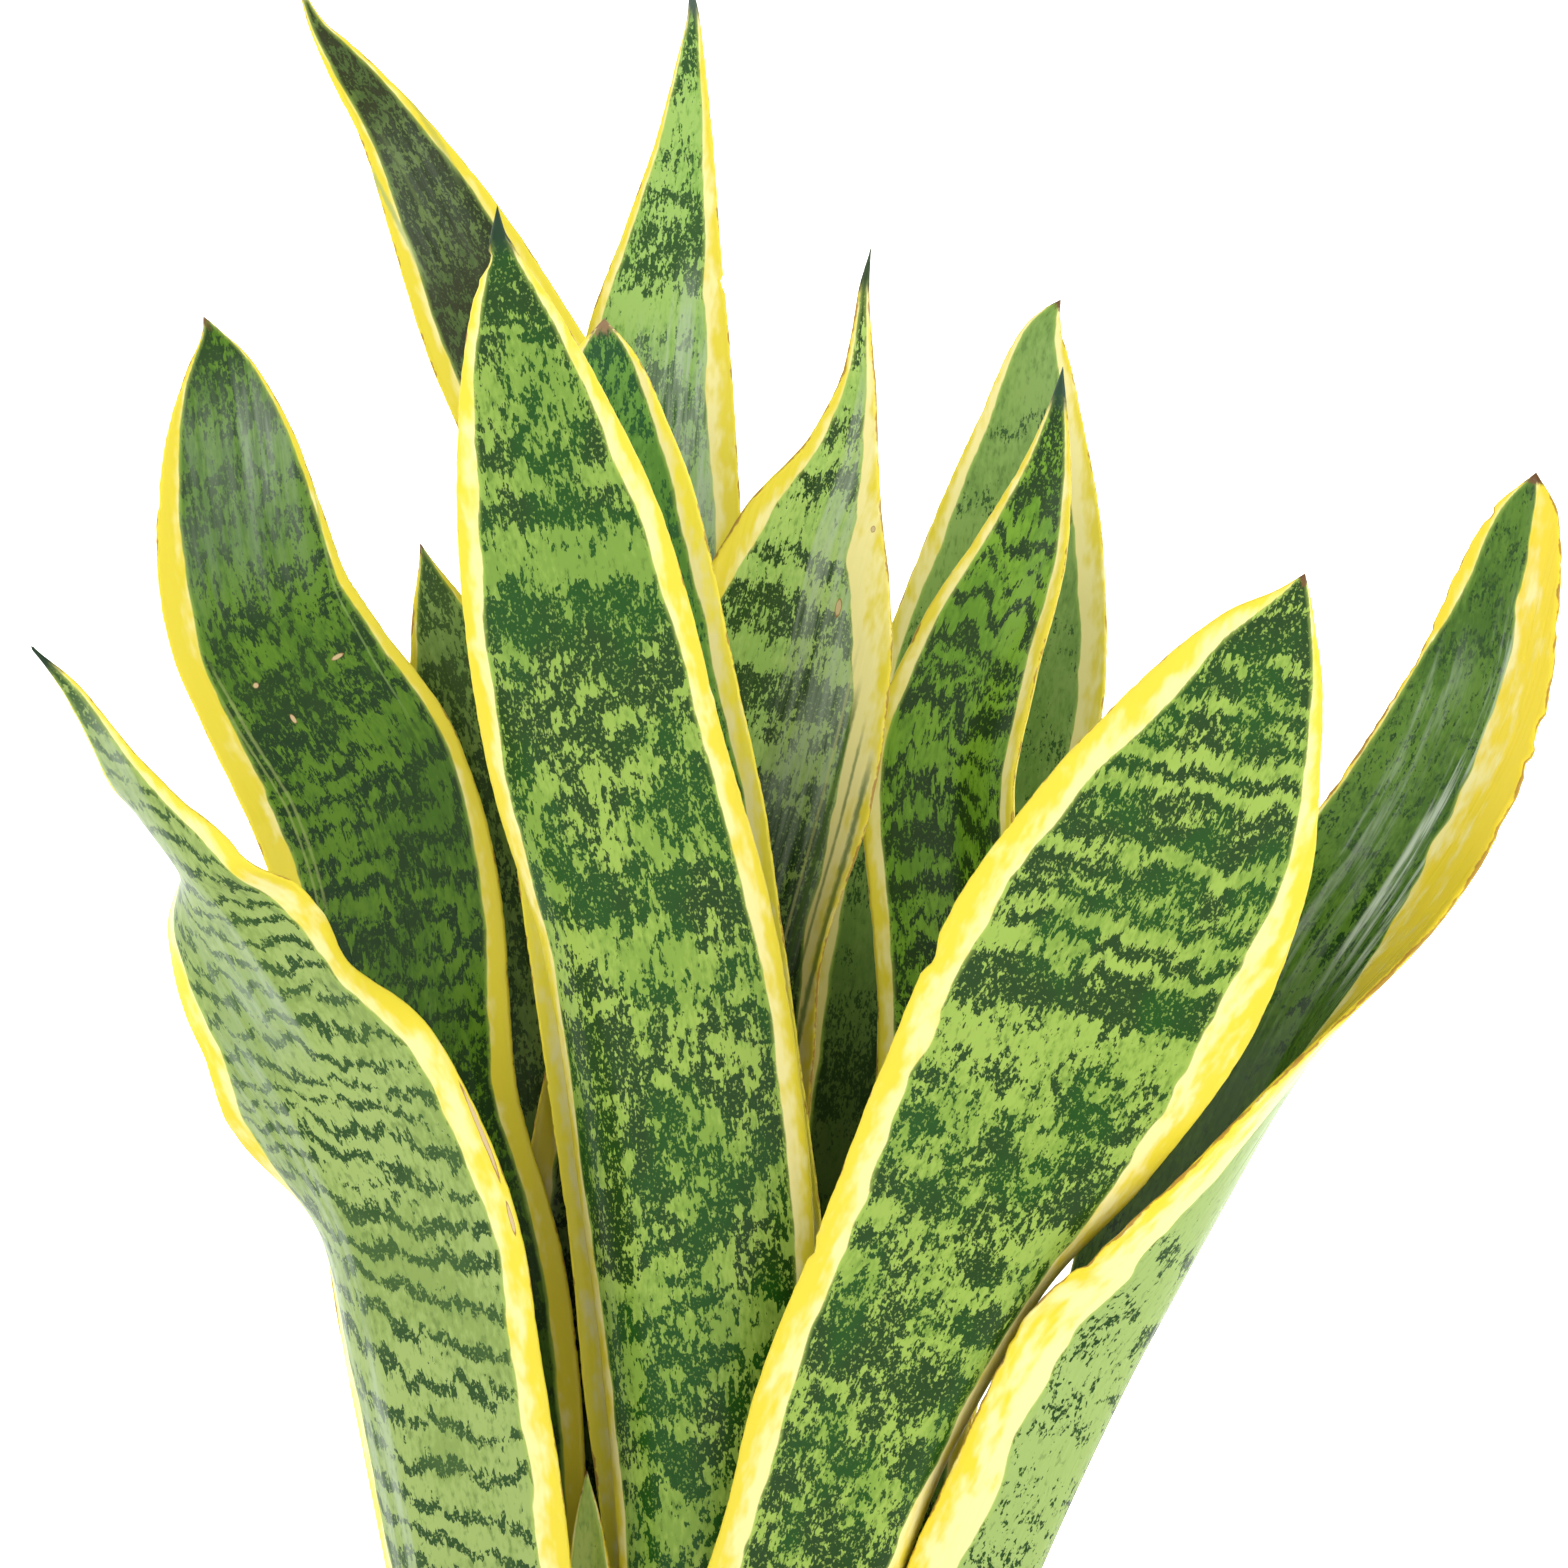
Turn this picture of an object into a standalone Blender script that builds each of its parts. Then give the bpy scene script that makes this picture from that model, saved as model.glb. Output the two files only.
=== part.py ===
"""A potted laurentii snake plant.

Thirteen upright sword leaves with yellow margins, the creeping rhizome they grow
from, the soil and a plain clay pot. Metres, +Z up. The pot stands on z = 0 with
its axis through the origin, and the front of the plant looks along -Y.
"""

import math

import bmesh
import bpy
import numpy as np
from mathutils import Vector

MM = 0.001
CLEARANCE = 0.3 * MM
WELD_DISTANCE = 0.05 * MM

# Pot
POT_HEIGHT = 0.125
POT_FOOT_RADIUS = 0.052
POT_BAND_HEIGHT = 0.026
POT_BAND_STEP = 0.004
POT_BAND_FLARE = 0.001
POT_BODY_TOP_RADIUS = 0.0705
POT_WALL = 0.005
POT_FLOOR = 0.007
POT_EDGE_ROUND = 0.0015
POT_SIDES = 40
DRAIN_RADIUS = 0.004
DRAIN_RING_RADIUS = 0.026
DRAIN_COUNT = 4
DRAIN_SIDES = 12

# Soil
SOIL_TOP = 0.110
SOIL_RINGS = (0.014, 0.028, 0.042, 0.055)
SOIL_SIDES = 36
SOIL_UNEVEN = 0.0016
SOIL_ROLL_WIDTH = 0.011
SOIL_LUMP_WIDTH = 0.0055

# Leaf bases and rhizome
LEAF_FOOT = 0.086
SLOT_BOTTOM = 0.081
SLOT_TOP = 0.118
RHIZOME_RADIUS = 0.009
RHIZOME_CREST = LEAF_FOOT - CLEARANCE
BRANCH_THINNING = 0.05
BRANCH_DROP = 0.07 * MM

# Leaf blades
MARGIN_WIDTH = 7.5 * MM
MARGIN_SHARE = 0.17
GREEN_COLUMNS = 3
LONGEST_ROW = 30 * MM
FOOT_THICKNESS = 4.6 * MM
MIDDLE_THICKNESS = 3.2 * MM
TIP_THICKNESS = 1.6 * MM
RIM_THICKNESS = 1.2 * MM
POINT_THICKNESS = 0.85 * MM
FOOT_LENGTH = 0.13
TIP_LENGTH = 0.09
WAVE_HEIGHT = 0.9 * MM
WAVE_LENGTH = 0.095
BEND_STEPS = 24

# Each leaf is a list of stations up its midrib, from its foot to its tip:
# x, y, z and the width in millimetres, the way its inner face looks (0 is the
# front, 90 is +X), and how far its left and right rims slope forward, all in
# degrees. Left and right are as seen when looking at the inner face.
# Crease is 1 for an even channel, and lower where the fold is sharper.
LEAVES = {
    "leaf_front_centre": {
        "crease": 1.0,
        "phase": 0.4,
        "stations": (
            (1, -22, 86, 34, 180, 55, 60),
            (1, -22, 118, 34, 180, 55, 60),
            (2, -25, 192, 47, 182, 30, 66),
            (-0.5, -29, 242.5, 52.5, 182, 20, 71),
            (-5, -32, 286, 57, 180, 15, 73),
            (-10.8, -36, 329, 55.5, 178, 15, 65),
            (-20.1, -41, 371, 52.3, 178, 20, 38),
            (-27.4, -46, 413, 44.2, 180, 12, 20),
            (-34, -50, 444.5, 29.4, 180, 10, 12),
            (-37.6, -53, 464, 15.6, 180, 10, 10),
            (-39, -54.5, 473.5, 6, 180, 10, 10),
            (-39.7, -55, 477.5, 3, 180, 10, 10),
            (-39.8, -56, 483, 0, 180, 10, 10),
        ),
    },
    "leaf_front_right": {
        "crease": 1.0,
        "phase": 2.1,
        "stations": (
            (2, -43, 86, 36, 180, 55, 50),
            (2, -43, 118, 36, 180, 55, 50),
            (11, -44, 160, 43, 180, 60, 40),
            (26, -46, 202, 46, 180, 70, 30),
            (35.5, -48, 227.5, 52.6, 180, 82, 25),
            (50.9, -52, 260.5, 57.8, 180, 80, 20),
            (66.5, -60, 292.5, 64.8, 180, 50, 15),
            (81, -68, 324, 67.8, 180, 20, 12),
            (96, -76, 354.5, 58.6, 180, 12, 10),
            (107, -80, 380, 39.9, 180, 10, 10),
            (114.4, -83, 396, 23.3, 180, 10, 10),
            (119, -84.5, 405, 8, 180, 10, 10),
            (121, -85.5, 410, 0, 180, 10, 10),
        ),
    },
    "leaf_far_right": {
        "crease": 0.35,
        "phase": 3.0,
        "stations": (
            (46, -16, 86, 38, -90, 55, 55),
            (46, -16, 118, 38, -90, 55, 55),
            (56, -22, 158, 50, -97, 60, 66),
            (71, -28, 196, 60, -102, 62, 78),
            (89, -32.5, 237, 60, -99, 60, 71),
            (99.7, -31.5, 257, 60, -86, 55, 62),
            (111, -29.5, 278, 58, -74, 48, 57),
            (130.5, -24, 315, 53, -54, 40, 45),
            (156.5, -20, 357, 42.5, -36, 42, 38),
            (168, -17, 384, 34, -30, 30, 34),
            (172.5, -15, 405, 25.5, -28, 22, 28),
            (175.5, -14, 420, 14.5, -25, 15, 20),
            (177, -13, 428, 0, -25, 10, 10),
        ),
    },
    "leaf_front_left": {
        "crease": 0.8,
        "phase": 0.9,
        "stations": (
            (-40, -26, 86, 34, 170, 50, 60),
            (-40, -26, 118, 34, 170, 50, 60),
            (-45.5, -31, 160, 42, 172, 25, 58),
            (-50.5, -35, 200, 47, 173, 14, 62),
            (-56.8, -38, 236.5, 50, 172, 12, 64),
            (-63.5, -42, 268, 54, 171, 14, 76),
            (-76, -47, 299.5, 51.5, 170, 22, 33),
            (-87.5, -51, 319.5, 39.5, 163, 70, 14),
            (-97.3, -54, 337, 40, 148, 28, 32),
            (-104, -57, 349, 34, 120, 38, 52),
            (-110.7, -59, 359.5, 20, 125, 32, 34),
            (-117, -61, 370, 10, 145, 20, 15),
            (-121, -62.5, 377.5, 6.2, 158, 10, 10),
            (-126, -64, 385.5, 3.8, 165, 10, 10),
            (-133.7, -66, 394.5, 0, 165, 10, 10),
        ),
    },
    "leaf_left": {
        "crease": 1.0,
        "phase": 1.7,
        "stations": (
            (-40, -2, 86, 34, 30, 45, 45),
            (-40, -2, 118, 34, 30, 45, 45),
            (-47.5, 2, 192, 47, 22, 30, 35),
            (-55, 5, 249, 53, 16, 22, 28),
            (-63.3, 8, 293, 46.8, 14, 18, 25),
            (-68, 11, 335.5, 49.3, 14, 18, 25),
            (-75.2, 13, 359, 50.3, 14, 18, 22),
            (-88, 15, 381, 45.5, 14, 15, 20),
            (-96.5, 17, 397.5, 42, 14, 15, 20),
            (-100, 18.5, 412.5, 38.3, 14, 14, 18),
            (-102.6, 20.5, 432.5, 29.8, 14, 12, 15),
            (-104.9, 22, 450, 15, 14, 10, 12),
            (-107, 23, 458, 3.5, 14, 10, 10),
            (-108.4, 23.5, 461, 0, 14, 10, 10),
        ),
    },
    "leaf_back_left_short": {
        "crease": 1.0,
        "phase": 2.6,
        "stations": (
            (-34, 24, 86, 26, 12, 40, 40),
            (-34, 24, 118, 26, 12, 40, 40),
            (-35, 23.5, 187, 35, 12, 16, 14),
            (-38, 27, 289, 40.5, 12, 14, 10),
            (-43, 28, 333, 39.5, 12, 12, 10),
            (-48.6, 28, 362, 33, 10, 12, 12),
            (-54.2, 28, 384.5, 21.5, 10, 12, 12),
            (-58.2, 28, 398.5, 11.3, 10, 10, 10),
            (-60.7, 28, 407.5, 3, 10, 10, 10),
            (-61.8, 28, 411.5, 0, 10, 10, 10),
        ),
    },
    "leaf_back_left_tall": {
        "crease": 1.0,
        "phase": 0.2,
        "stations": (
            (-4, 34, 86, 34, 16, 40, 40),
            (-4, 34, 118, 34, 16, 40, 40),
            (-8, 40, 189, 47, 17, 28, 28),
            (-12.2, 46, 263.5, 54, 18, 20, 22),
            (-17.4, 53, 328.5, 55, 18, 20, 20),
            (-25.7, 60, 389, 50, 18, 20, 20),
            (-35.4, 66, 431.5, 40, 18, 22, 22),
            (-48.2, 70, 458, 34.5, 18, 24, 24),
            (-59.4, 73, 481.5, 26.5, 18, 24, 24),
            (-71.2, 76, 503.5, 16, 16, 20, 20),
            (-82.3, 78.5, 519, 9, 14, 15, 15),
            (-89, 80, 528.5, 3.3, 12, 10, 10),
            (-93.4, 81.5, 540, 0, 12, 10, 10),
        ),
    },
    "leaf_back_centre": {
        "crease": 1.0,
        "phase": 1.2,
        "stations": (
            (0, 48, 86, 34, -6, 45, 45),
            (0, 48, 118, 34, -6, 45, 45),
            (-8, 54, 184.5, 44, -6, 28, 28),
            (-13.3, 61, 262, 51.5, -5, 20, 20),
            (-14.4, 68, 329, 52.7, -4, 18, 18),
            (-14.6, 75, 385.5, 50.5, -4, 16, 18),
            (-12.8, 80, 424, 43, -4, 18, 20),
            (-10.6, 84, 455, 34, -4, 18, 20),
            (-7.6, 88, 478.5, 23.2, -4, 16, 20),
            (-4.7, 91, 501.5, 13.5, -4, 14, 16),
            (-3.3, 94, 520.5, 6.5, -4, 10, 12),
            (-2.8, 95.5, 530, 3, -4, 10, 10),
            (-3.9, 97, 540, 0, -4, 10, 10),
        ),
    },
    "leaf_behind_centre": {
        "crease": 1.0,
        "phase": 2.9,
        "stations": (
            (4, 2, 86, 34, 0, 50, 50),
            (4, 2, 118, 34, 0, 50, 50),
            (3, 5, 192, 49, 0, 26, 26),
            (0.5, 7, 245, 56, 0, 18, 18),
            (-6, 8, 300, 56, 0, 15, 18),
            (-12, 8, 343, 56, 0, 15, 15),
            (-17, 8, 385, 49, 0, 14, 15),
            (-19.5, 8, 420, 38.5, 0, 14, 15),
            (-20.5, 8, 440, 26, 0, 12, 12),
            (-20.5, 8, 453, 13.5, 0, 10, 10),
            (-20.5, 8, 460.5, 0, 0, 10, 10),
        ),
    },
    "leaf_centre_right": {
        "crease": 0.3,
        "phase": 0.7,
        "stations": (
            (-10, 18, 86, 36, 0, 30, 30),
            (-10, 18, 118, 36, 0, 30, 30),
            (-17, 20, 190, 54, 0, 26, 26),
            (-8.5, 22.5, 262, 65, 0, 18, 29),
            (-1.5, 22.5, 306, 61, 0, 20, 36),
            (5, 22.5, 331, 54, 0, 24, 40),
            (11.6, 22.5, 358, 57.5, 0, 26, 35),
            (18.6, 22, 388, 51.5, 0, 28, 32),
            (24.2, 21, 412, 37.5, 0, 28, 30),
            (31.2, 20, 433, 16.8, 0, 26, 28),
            (34.5, 19, 450, 7, 0, 18, 20),
            (35.1, 19, 461, 3.6, 0, 10, 10),
            (35.4, 19, 466, 2.6, 0, 10, 10),
            (37, 19, 476, 0, 0, 10, 10),
        ),
    },
    "leaf_right": {
        "crease": 0.8,
        "phase": 1.9,
        "stations": (
            (30, 14, 86, 34, -12, 40, 40),
            (30, 14, 118, 34, -12, 40, 40),
            (38, 18, 190, 42, -12, 35, 45),
            (52, 22, 260, 33, -12, 30, 50),
            (55.4, 24, 312, 34.5, -12, 30, 55),
            (55.1, 28, 356.5, 40, -14, 30, 62),
            (61.6, 31, 385.5, 32.5, -14, 28, 48),
            (71.1, 34, 409.5, 22, -14, 24, 34),
            (76.9, 37, 430.5, 9.8, -12, 18, 20),
            (78.7, 38.5, 441.5, 4, -10, 10, 10),
            (79.8, 40, 450, 0, -10, 10, 10),
        ),
    },
    "leaf_back_right": {
        "crease": 1.0,
        "phase": 0.1,
        "stations": (
            (32, 36, 86, 34, -30, 45, 45),
            (32, 36, 118, 34, -30, 45, 45),
            (37, 43, 189, 47, -26, 28, 28),
            (46.2, 52, 260.5, 58, -24, 20, 20),
            (56.6, 61, 328, 59.5, -22, 20, 20),
            (66.4, 67, 376.5, 56.5, -22, 20, 20),
            (72.1, 72, 411, 42.5, -22, 20, 20),
            (74.9, 76, 435.5, 26.3, -22, 18, 18),
            (76.8, 79, 455, 12.4, -20, 12, 12),
            (79.2, 80, 461.5, 5, -20, 10, 10),
            (81.5, 81, 465, 0, -20, 10, 10),
        ),
    },
    "leaf_young": {
        "crease": 1.0,
        "phase": 0.5,
        "stations": (
            (-20, -13, 86, 9, 0, 60, 60),
            (-20, -13, 118, 9, 0, 60, 60),
            (-22, -13, 150, 12, 0, 50, 50),
            (-23.2, -13, 180, 12, 0, 45, 45),
            (-24, -13, 200, 7, 0, 30, 30),
            (-24.3, -13, 214, 0, 0, 10, 10),
        ),
    },
}

# The rhizome's branches, as x, y in millimetres under the leaf bases.
RHIZOME_BRANCHES = (
    ((-40, -28), (-41, -2), (-34, 25)),
    ((2, -44), (1, -22), (4, 2), (-9, 18), (-4, 32), (0, 48)),
    ((43, -18), (33, -2), (30, 14), (32, 37)),
    ((-41, -2), (-20, -13), (1, -22)),
    ((4, 2), (31, 5)),
)


def steady_curve(knots, values, at):
    """Values read at any place along a smooth curve through the knots that never swings past them."""
    gaps = np.diff(knots)[:, None]
    steps = np.diff(values, axis=0) / gaps
    before, after = steps[:-1], steps[1:]
    same_way = before * after > 0
    weight_before = 2 * gaps[1:] + gaps[:-1]
    weight_after = gaps[1:] + 2 * gaps[:-1]
    safe_before = np.where(same_way, before, 1.0)
    safe_after = np.where(same_way, after, 1.0)
    blended = (weight_before + weight_after) / (weight_before / safe_before + weight_after / safe_after)
    slopes = np.vstack([steps[:1], np.where(same_way, blended, 0.0), steps[-1:]])
    index = np.clip(np.searchsorted(knots, at, side="right") - 1, 0, len(knots) - 2)
    gap = gaps[index]
    t = (np.asarray(at)[:, None] - knots[index][:, None]) / gap
    return (
        values[index] * (1 + 2 * t) * (1 - t) ** 2
        + slopes[index] * gap * t * (1 - t) ** 2
        + values[index + 1] * t**2 * (3 - 2 * t)
        + slopes[index + 1] * gap * t**2 * (t - 1)
    )


def row_places(knots, longest):
    """Distances up the midrib where the blade gets a row: every station, and between far ones."""
    places = [knots[0], knots[1]]
    for low, high in zip(knots[1:-1], knots[2:]):
        count = max(1, math.ceil((high - low) / longest))
        places += [low + (high - low) * step / count for step in range(1, count + 1)]
    return np.array(places)


def rim_bend(distances, half_width, slope, crease):
    """How far out and how far forward points lie that are these distances from the midrib."""
    share = (np.arange(BEND_STEPS) + 0.5) / BEND_STEPS
    lean = slope * share**crease
    step = half_width / BEND_STEPS
    out = np.concatenate([[0.0], np.cumsum(np.cos(lean)) * step])
    forward = np.concatenate([[0.0], np.cumsum(np.sin(lean)) * step])
    marks = np.linspace(0.0, half_width, BEND_STEPS + 1)
    return np.interp(distances, marks, out), np.interp(distances, marks, forward)


def blade_thickness(distance, length, across):
    """Thick at the foot and the midrib, thin at the rims and the tip."""
    foot = max(0.0, 1.0 - distance / FOOT_LENGTH)
    tip = max(0.0, 1.0 - (length - distance) / TIP_LENGTH)
    middle = MIDDLE_THICKNESS + (FOOT_THICKNESS - MIDDLE_THICKNESS) * foot
    middle += (TIP_THICKNESS - MIDDLE_THICKNESS) * tip
    return RIM_THICKNESS + (middle - RIM_THICKNESS) * (1.0 - across**2)


def column_distances(half_width):
    """Distances from the midrib of the blade's columns on one side; the last two bound the margin."""
    margin = min(MARGIN_WIDTH, 2 * half_width * MARGIN_SHARE)
    green = [(half_width - margin) * step / GREEN_COLUMNS for step in range(1, GREEN_COLUMNS + 1)]
    return np.array(green + [half_width])


def blade_rows(leaf, places=None, widen=0.0):
    """Rows of (point, thickness) across the blade from its left rim to its right, and its tip."""
    table = np.array(leaf["stations"], float)
    table[:, :4] *= MM
    table[:, 4:] = np.radians(table[:, 4:])
    knots = np.concatenate([[0.0], np.cumsum(np.linalg.norm(np.diff(table[:, :3], axis=0), axis=1))])
    length = knots[-1]
    if places is None:
        places = row_places(knots, LONGEST_ROW)[:-1]
    nearby = 0.5 * MM
    ahead = steady_curve(knots, table, np.minimum(places + nearby, length))
    behind = steady_curve(knots, table, np.maximum(places - nearby, 0.0))
    rows = []
    for place, row, high, low in zip(places, steady_curve(knots, table, places), ahead, behind):
        centre = Vector(row[:3])
        width, turn, left_slope, right_slope = row[3:]
        along = Vector(high[:3] - low[:3]).normalized()
        facing = Vector((math.sin(turn), -math.cos(turn), 0.0))
        facing = (facing - along * facing.dot(along)).normalized()
        sideways = along.cross(facing)
        half = width / 2
        distances = column_distances(half)
        stretched = distances.copy()
        stretched[-1] += widen
        points = [(centre, blade_thickness(place, length, 0.0))]
        sway = math.sin(2 * math.pi * (place / WAVE_LENGTH) + leaf["phase"] * math.pi)
        for side, slope in ((-1, left_slope), (1, right_slope)):
            out, forward = rim_bend(stretched, half + widen, slope, leaf["crease"])
            line = []
            for distance, o, f in zip(distances, out, forward):
                across = distance / half
                ripple = side * sway * WAVE_HEIGHT * across**3 * min(1.0, half / MARGIN_WIDTH / 2)
                ripple *= min(1.0, max(0.0, centre.z - SLOT_TOP) / FOOT_LENGTH)
                point = centre + sideways * (side * o) + facing * (f + ripple)
                line.append((point, blade_thickness(place, length, across)))
            points = line[::-1] + points if side < 0 else points + line
        rows.append(points)
    return rows, Vector(table[-1][:3])


def material(name, colour, roughness):
    made = bpy.data.materials.new(name)
    made.use_nodes = True
    shader = made.node_tree.nodes["Principled BSDF"]
    shader.inputs["Base Color"].default_value = (*colour, 1.0)
    shader.inputs["Roughness"].default_value = roughness
    shader.inputs["Metallic"].default_value = 0.0
    made.diffuse_color = (*colour, 1.0)
    return made


def add_object(name, mesh, collection, materials=()):
    placed = bpy.data.objects.new(name, mesh)
    collection.objects.link(placed)
    for each in materials:
        placed.data.materials.append(each)
    return placed


def mark_cutter(cutter):
    cutter.hide_render = True
    cutter.display_type = "WIRE"
    return cutter


def blade_object(name, rows, tip, collection, materials, thicken=0.0):
    """A blade lofted through its rows as an open surface, and given its thickness by a solidifier."""
    surface = bmesh.new()
    grid = [[surface.verts.new(point) for point, _ in row] for row in rows]
    last = len(grid[0]) - 2
    for low, high in zip(grid, grid[1:]):
        for column in range(last + 1):
            face = surface.faces.new((low[column], low[column + 1], high[column + 1], high[column]))
            face.material_index = 1 if column in (0, last) else 0
    thicknesses = [thickness for row in rows for _, thickness in row]
    if tip is not None:
        point = surface.verts.new(tip)
        for column in range(last + 1):
            surface.faces.new((grid[-1][column], grid[-1][column + 1], point))
        thicknesses.append(POINT_THICKNESS)
    bmesh.ops.triangulate(surface, faces=surface.faces)
    mesh = bpy.data.meshes.new(name)
    surface.to_mesh(mesh)
    surface.free()
    mesh.shade_smooth()
    blade = add_object(name, mesh, collection, materials)
    group = blade.vertex_groups.new(name="thickness")
    most = max(thicknesses) + 2 * thicken
    for index, thickness in enumerate(thicknesses):
        group.add([index], (thickness + 2 * thicken) / most, "REPLACE")
    shell = blade.modifiers.new("Thickness", "SOLIDIFY")
    shell.thickness = most
    shell.offset = 0.0
    shell.vertex_group = group.name
    return blade


def make_leaf(name, leaf, collection, materials):
    rows, tip = blade_rows(leaf)
    return blade_object(name, rows, tip, collection, materials)


def slot_cutter(name, leaf, collection):
    """The straight slot in the soil that a leaf's foot stands in, a little wider all round."""
    rows, _ = blade_rows(leaf, places=np.array([0.0]), widen=CLEARANCE)
    foot = rows[0]
    levels = (SLOT_BOTTOM, SLOT_TOP)
    prism = [[(Vector((p.x, p.y, level)), thickness) for p, thickness in foot] for level in levels]
    return mark_cutter(blade_object(f"cut_{name}", prism, None, collection, (), thicken=CLEARANCE))


def turned_mesh(name, outline, sides):
    """A closed mesh of revolution about Z from an (r, z) outline that ends on the axis at both ends."""
    profile = bpy.data.meshes.new(name)
    points = [(r, 0.0, z) for r, z in outline]
    profile.from_pydata(points, [(i, i + 1) for i in range(len(points) - 1)], [])
    placed = bpy.data.objects.new(name, profile)
    bpy.context.scene.collection.objects.link(placed)
    screw = placed.modifiers.new("Turn", "SCREW")
    screw.steps = sides
    screw.render_steps = sides
    screw.use_merge_vertices = True
    screw.merge_threshold = WELD_DISTANCE
    bpy.context.view_layer.update()
    mesh = bpy.data.meshes.new_from_object(placed.evaluated_get(bpy.context.evaluated_depsgraph_get()))
    mesh.name = name
    bpy.data.objects.remove(placed)
    bpy.data.meshes.remove(profile)
    return mesh


def pot_radius(z):
    """The outer radius of the pot's tapered body at a height."""
    body_height = POT_HEIGHT - POT_BAND_HEIGHT
    return POT_FOOT_RADIUS + (POT_BODY_TOP_RADIUS - POT_FOOT_RADIUS) * z / body_height


def cut_with(target, cutter):
    cut = target.modifiers.new(f"Cut {cutter.name}", "BOOLEAN")
    cut.operation = "DIFFERENCE"
    cut.solver = "EXACT"
    cut.object = cutter


def make_pot(collection, cutters, clay):
    band_bottom = POT_HEIGHT - POT_BAND_HEIGHT
    band_radius = pot_radius(band_bottom) + POT_BAND_STEP
    band_top_radius = band_radius + POT_BAND_FLARE
    inner_top = pot_radius(POT_HEIGHT) - POT_WALL
    inner_foot = pot_radius(POT_FLOOR) - POT_WALL
    outline = (
        (0.0, POT_FLOOR),
        (inner_foot - 2 * POT_EDGE_ROUND, POT_FLOOR),
        (inner_foot, POT_FLOOR + 2 * POT_EDGE_ROUND),
        (inner_top, POT_HEIGHT - POT_EDGE_ROUND),
        (inner_top + POT_EDGE_ROUND, POT_HEIGHT),
        (band_top_radius - POT_EDGE_ROUND, POT_HEIGHT),
        (band_top_radius, POT_HEIGHT - POT_EDGE_ROUND),
        (band_radius, band_bottom + POT_EDGE_ROUND),
        (band_radius - POT_EDGE_ROUND, band_bottom),
        (pot_radius(band_bottom), band_bottom),
        (POT_FOOT_RADIUS + POT_EDGE_ROUND / 4, POT_EDGE_ROUND),
        (POT_FOOT_RADIUS - POT_EDGE_ROUND, 0.0),
        (0.0, 0.0),
    )
    mesh = turned_mesh("pot", outline, POT_SIDES)
    mesh.shade_smooth()
    pot = add_object("pot", mesh, collection, (clay,))
    for index in range(DRAIN_COUNT):
        angle = 2 * math.pi * (index + 0.5) / DRAIN_COUNT
        place = (DRAIN_RING_RADIUS * math.cos(angle), DRAIN_RING_RADIUS * math.sin(angle), POT_FLOOR / 2)
        bpy.ops.mesh.primitive_cylinder_add(
            vertices=DRAIN_SIDES, radius=DRAIN_RADIUS, depth=2 * POT_FLOOR, location=place
        )
        drill = bpy.context.object
        drill.name = f"cut_drain_{index + 1}"
        for holder in list(drill.users_collection):
            holder.objects.unlink(drill)
        cutters.objects.link(mark_cutter(drill))
        cut_with(pot, drill)
    return pot


def soil_height(x, y):
    """The uneven surface of settled potting soil."""
    rolls = math.sin(x / SOIL_ROLL_WIDTH + 0.6) * math.cos(y / SOIL_ROLL_WIDTH - 0.4)
    lumps = math.sin((x - y / 2) / SOIL_LUMP_WIDTH + 1.1) * math.cos((x / 2 + y) / SOIL_LUMP_WIDTH)
    return SOIL_TOP + SOIL_UNEVEN * (rolls + lumps / 2)


def make_soil(collection, earth, cutters):
    top_radius = pot_radius(SOIL_TOP) - POT_WALL - CLEARANCE
    foot_height = POT_FLOOR + CLEARANCE
    knee = 2 * POT_EDGE_ROUND
    foot_radius = pot_radius(POT_FLOOR) - POT_WALL - CLEARANCE
    rings = [(radius, SOIL_TOP) for radius in SOIL_RINGS]
    outline = [(0.0, SOIL_TOP), *rings, (top_radius, SOIL_TOP)]
    outline += [(foot_radius, foot_height + knee), (foot_radius - knee, foot_height), (0.0, foot_height)]
    mesh = turned_mesh("soil", outline, SOIL_SIDES)
    ground = bmesh.new()
    ground.from_mesh(mesh)
    for vertex in ground.verts:
        if abs(vertex.co.z - SOIL_TOP) < CLEARANCE and vertex.co.xy.length < top_radius - CLEARANCE:
            vertex.co.z = soil_height(vertex.co.x, vertex.co.y)
    bmesh.ops.triangulate(ground, faces=ground.faces)
    ground.to_mesh(mesh)
    ground.free()
    mesh.shade_smooth()
    soil = add_object("soil", mesh, collection, (earth,))
    for cutter in cutters:
        cut_with(soil, cutter)
    return soil


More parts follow.
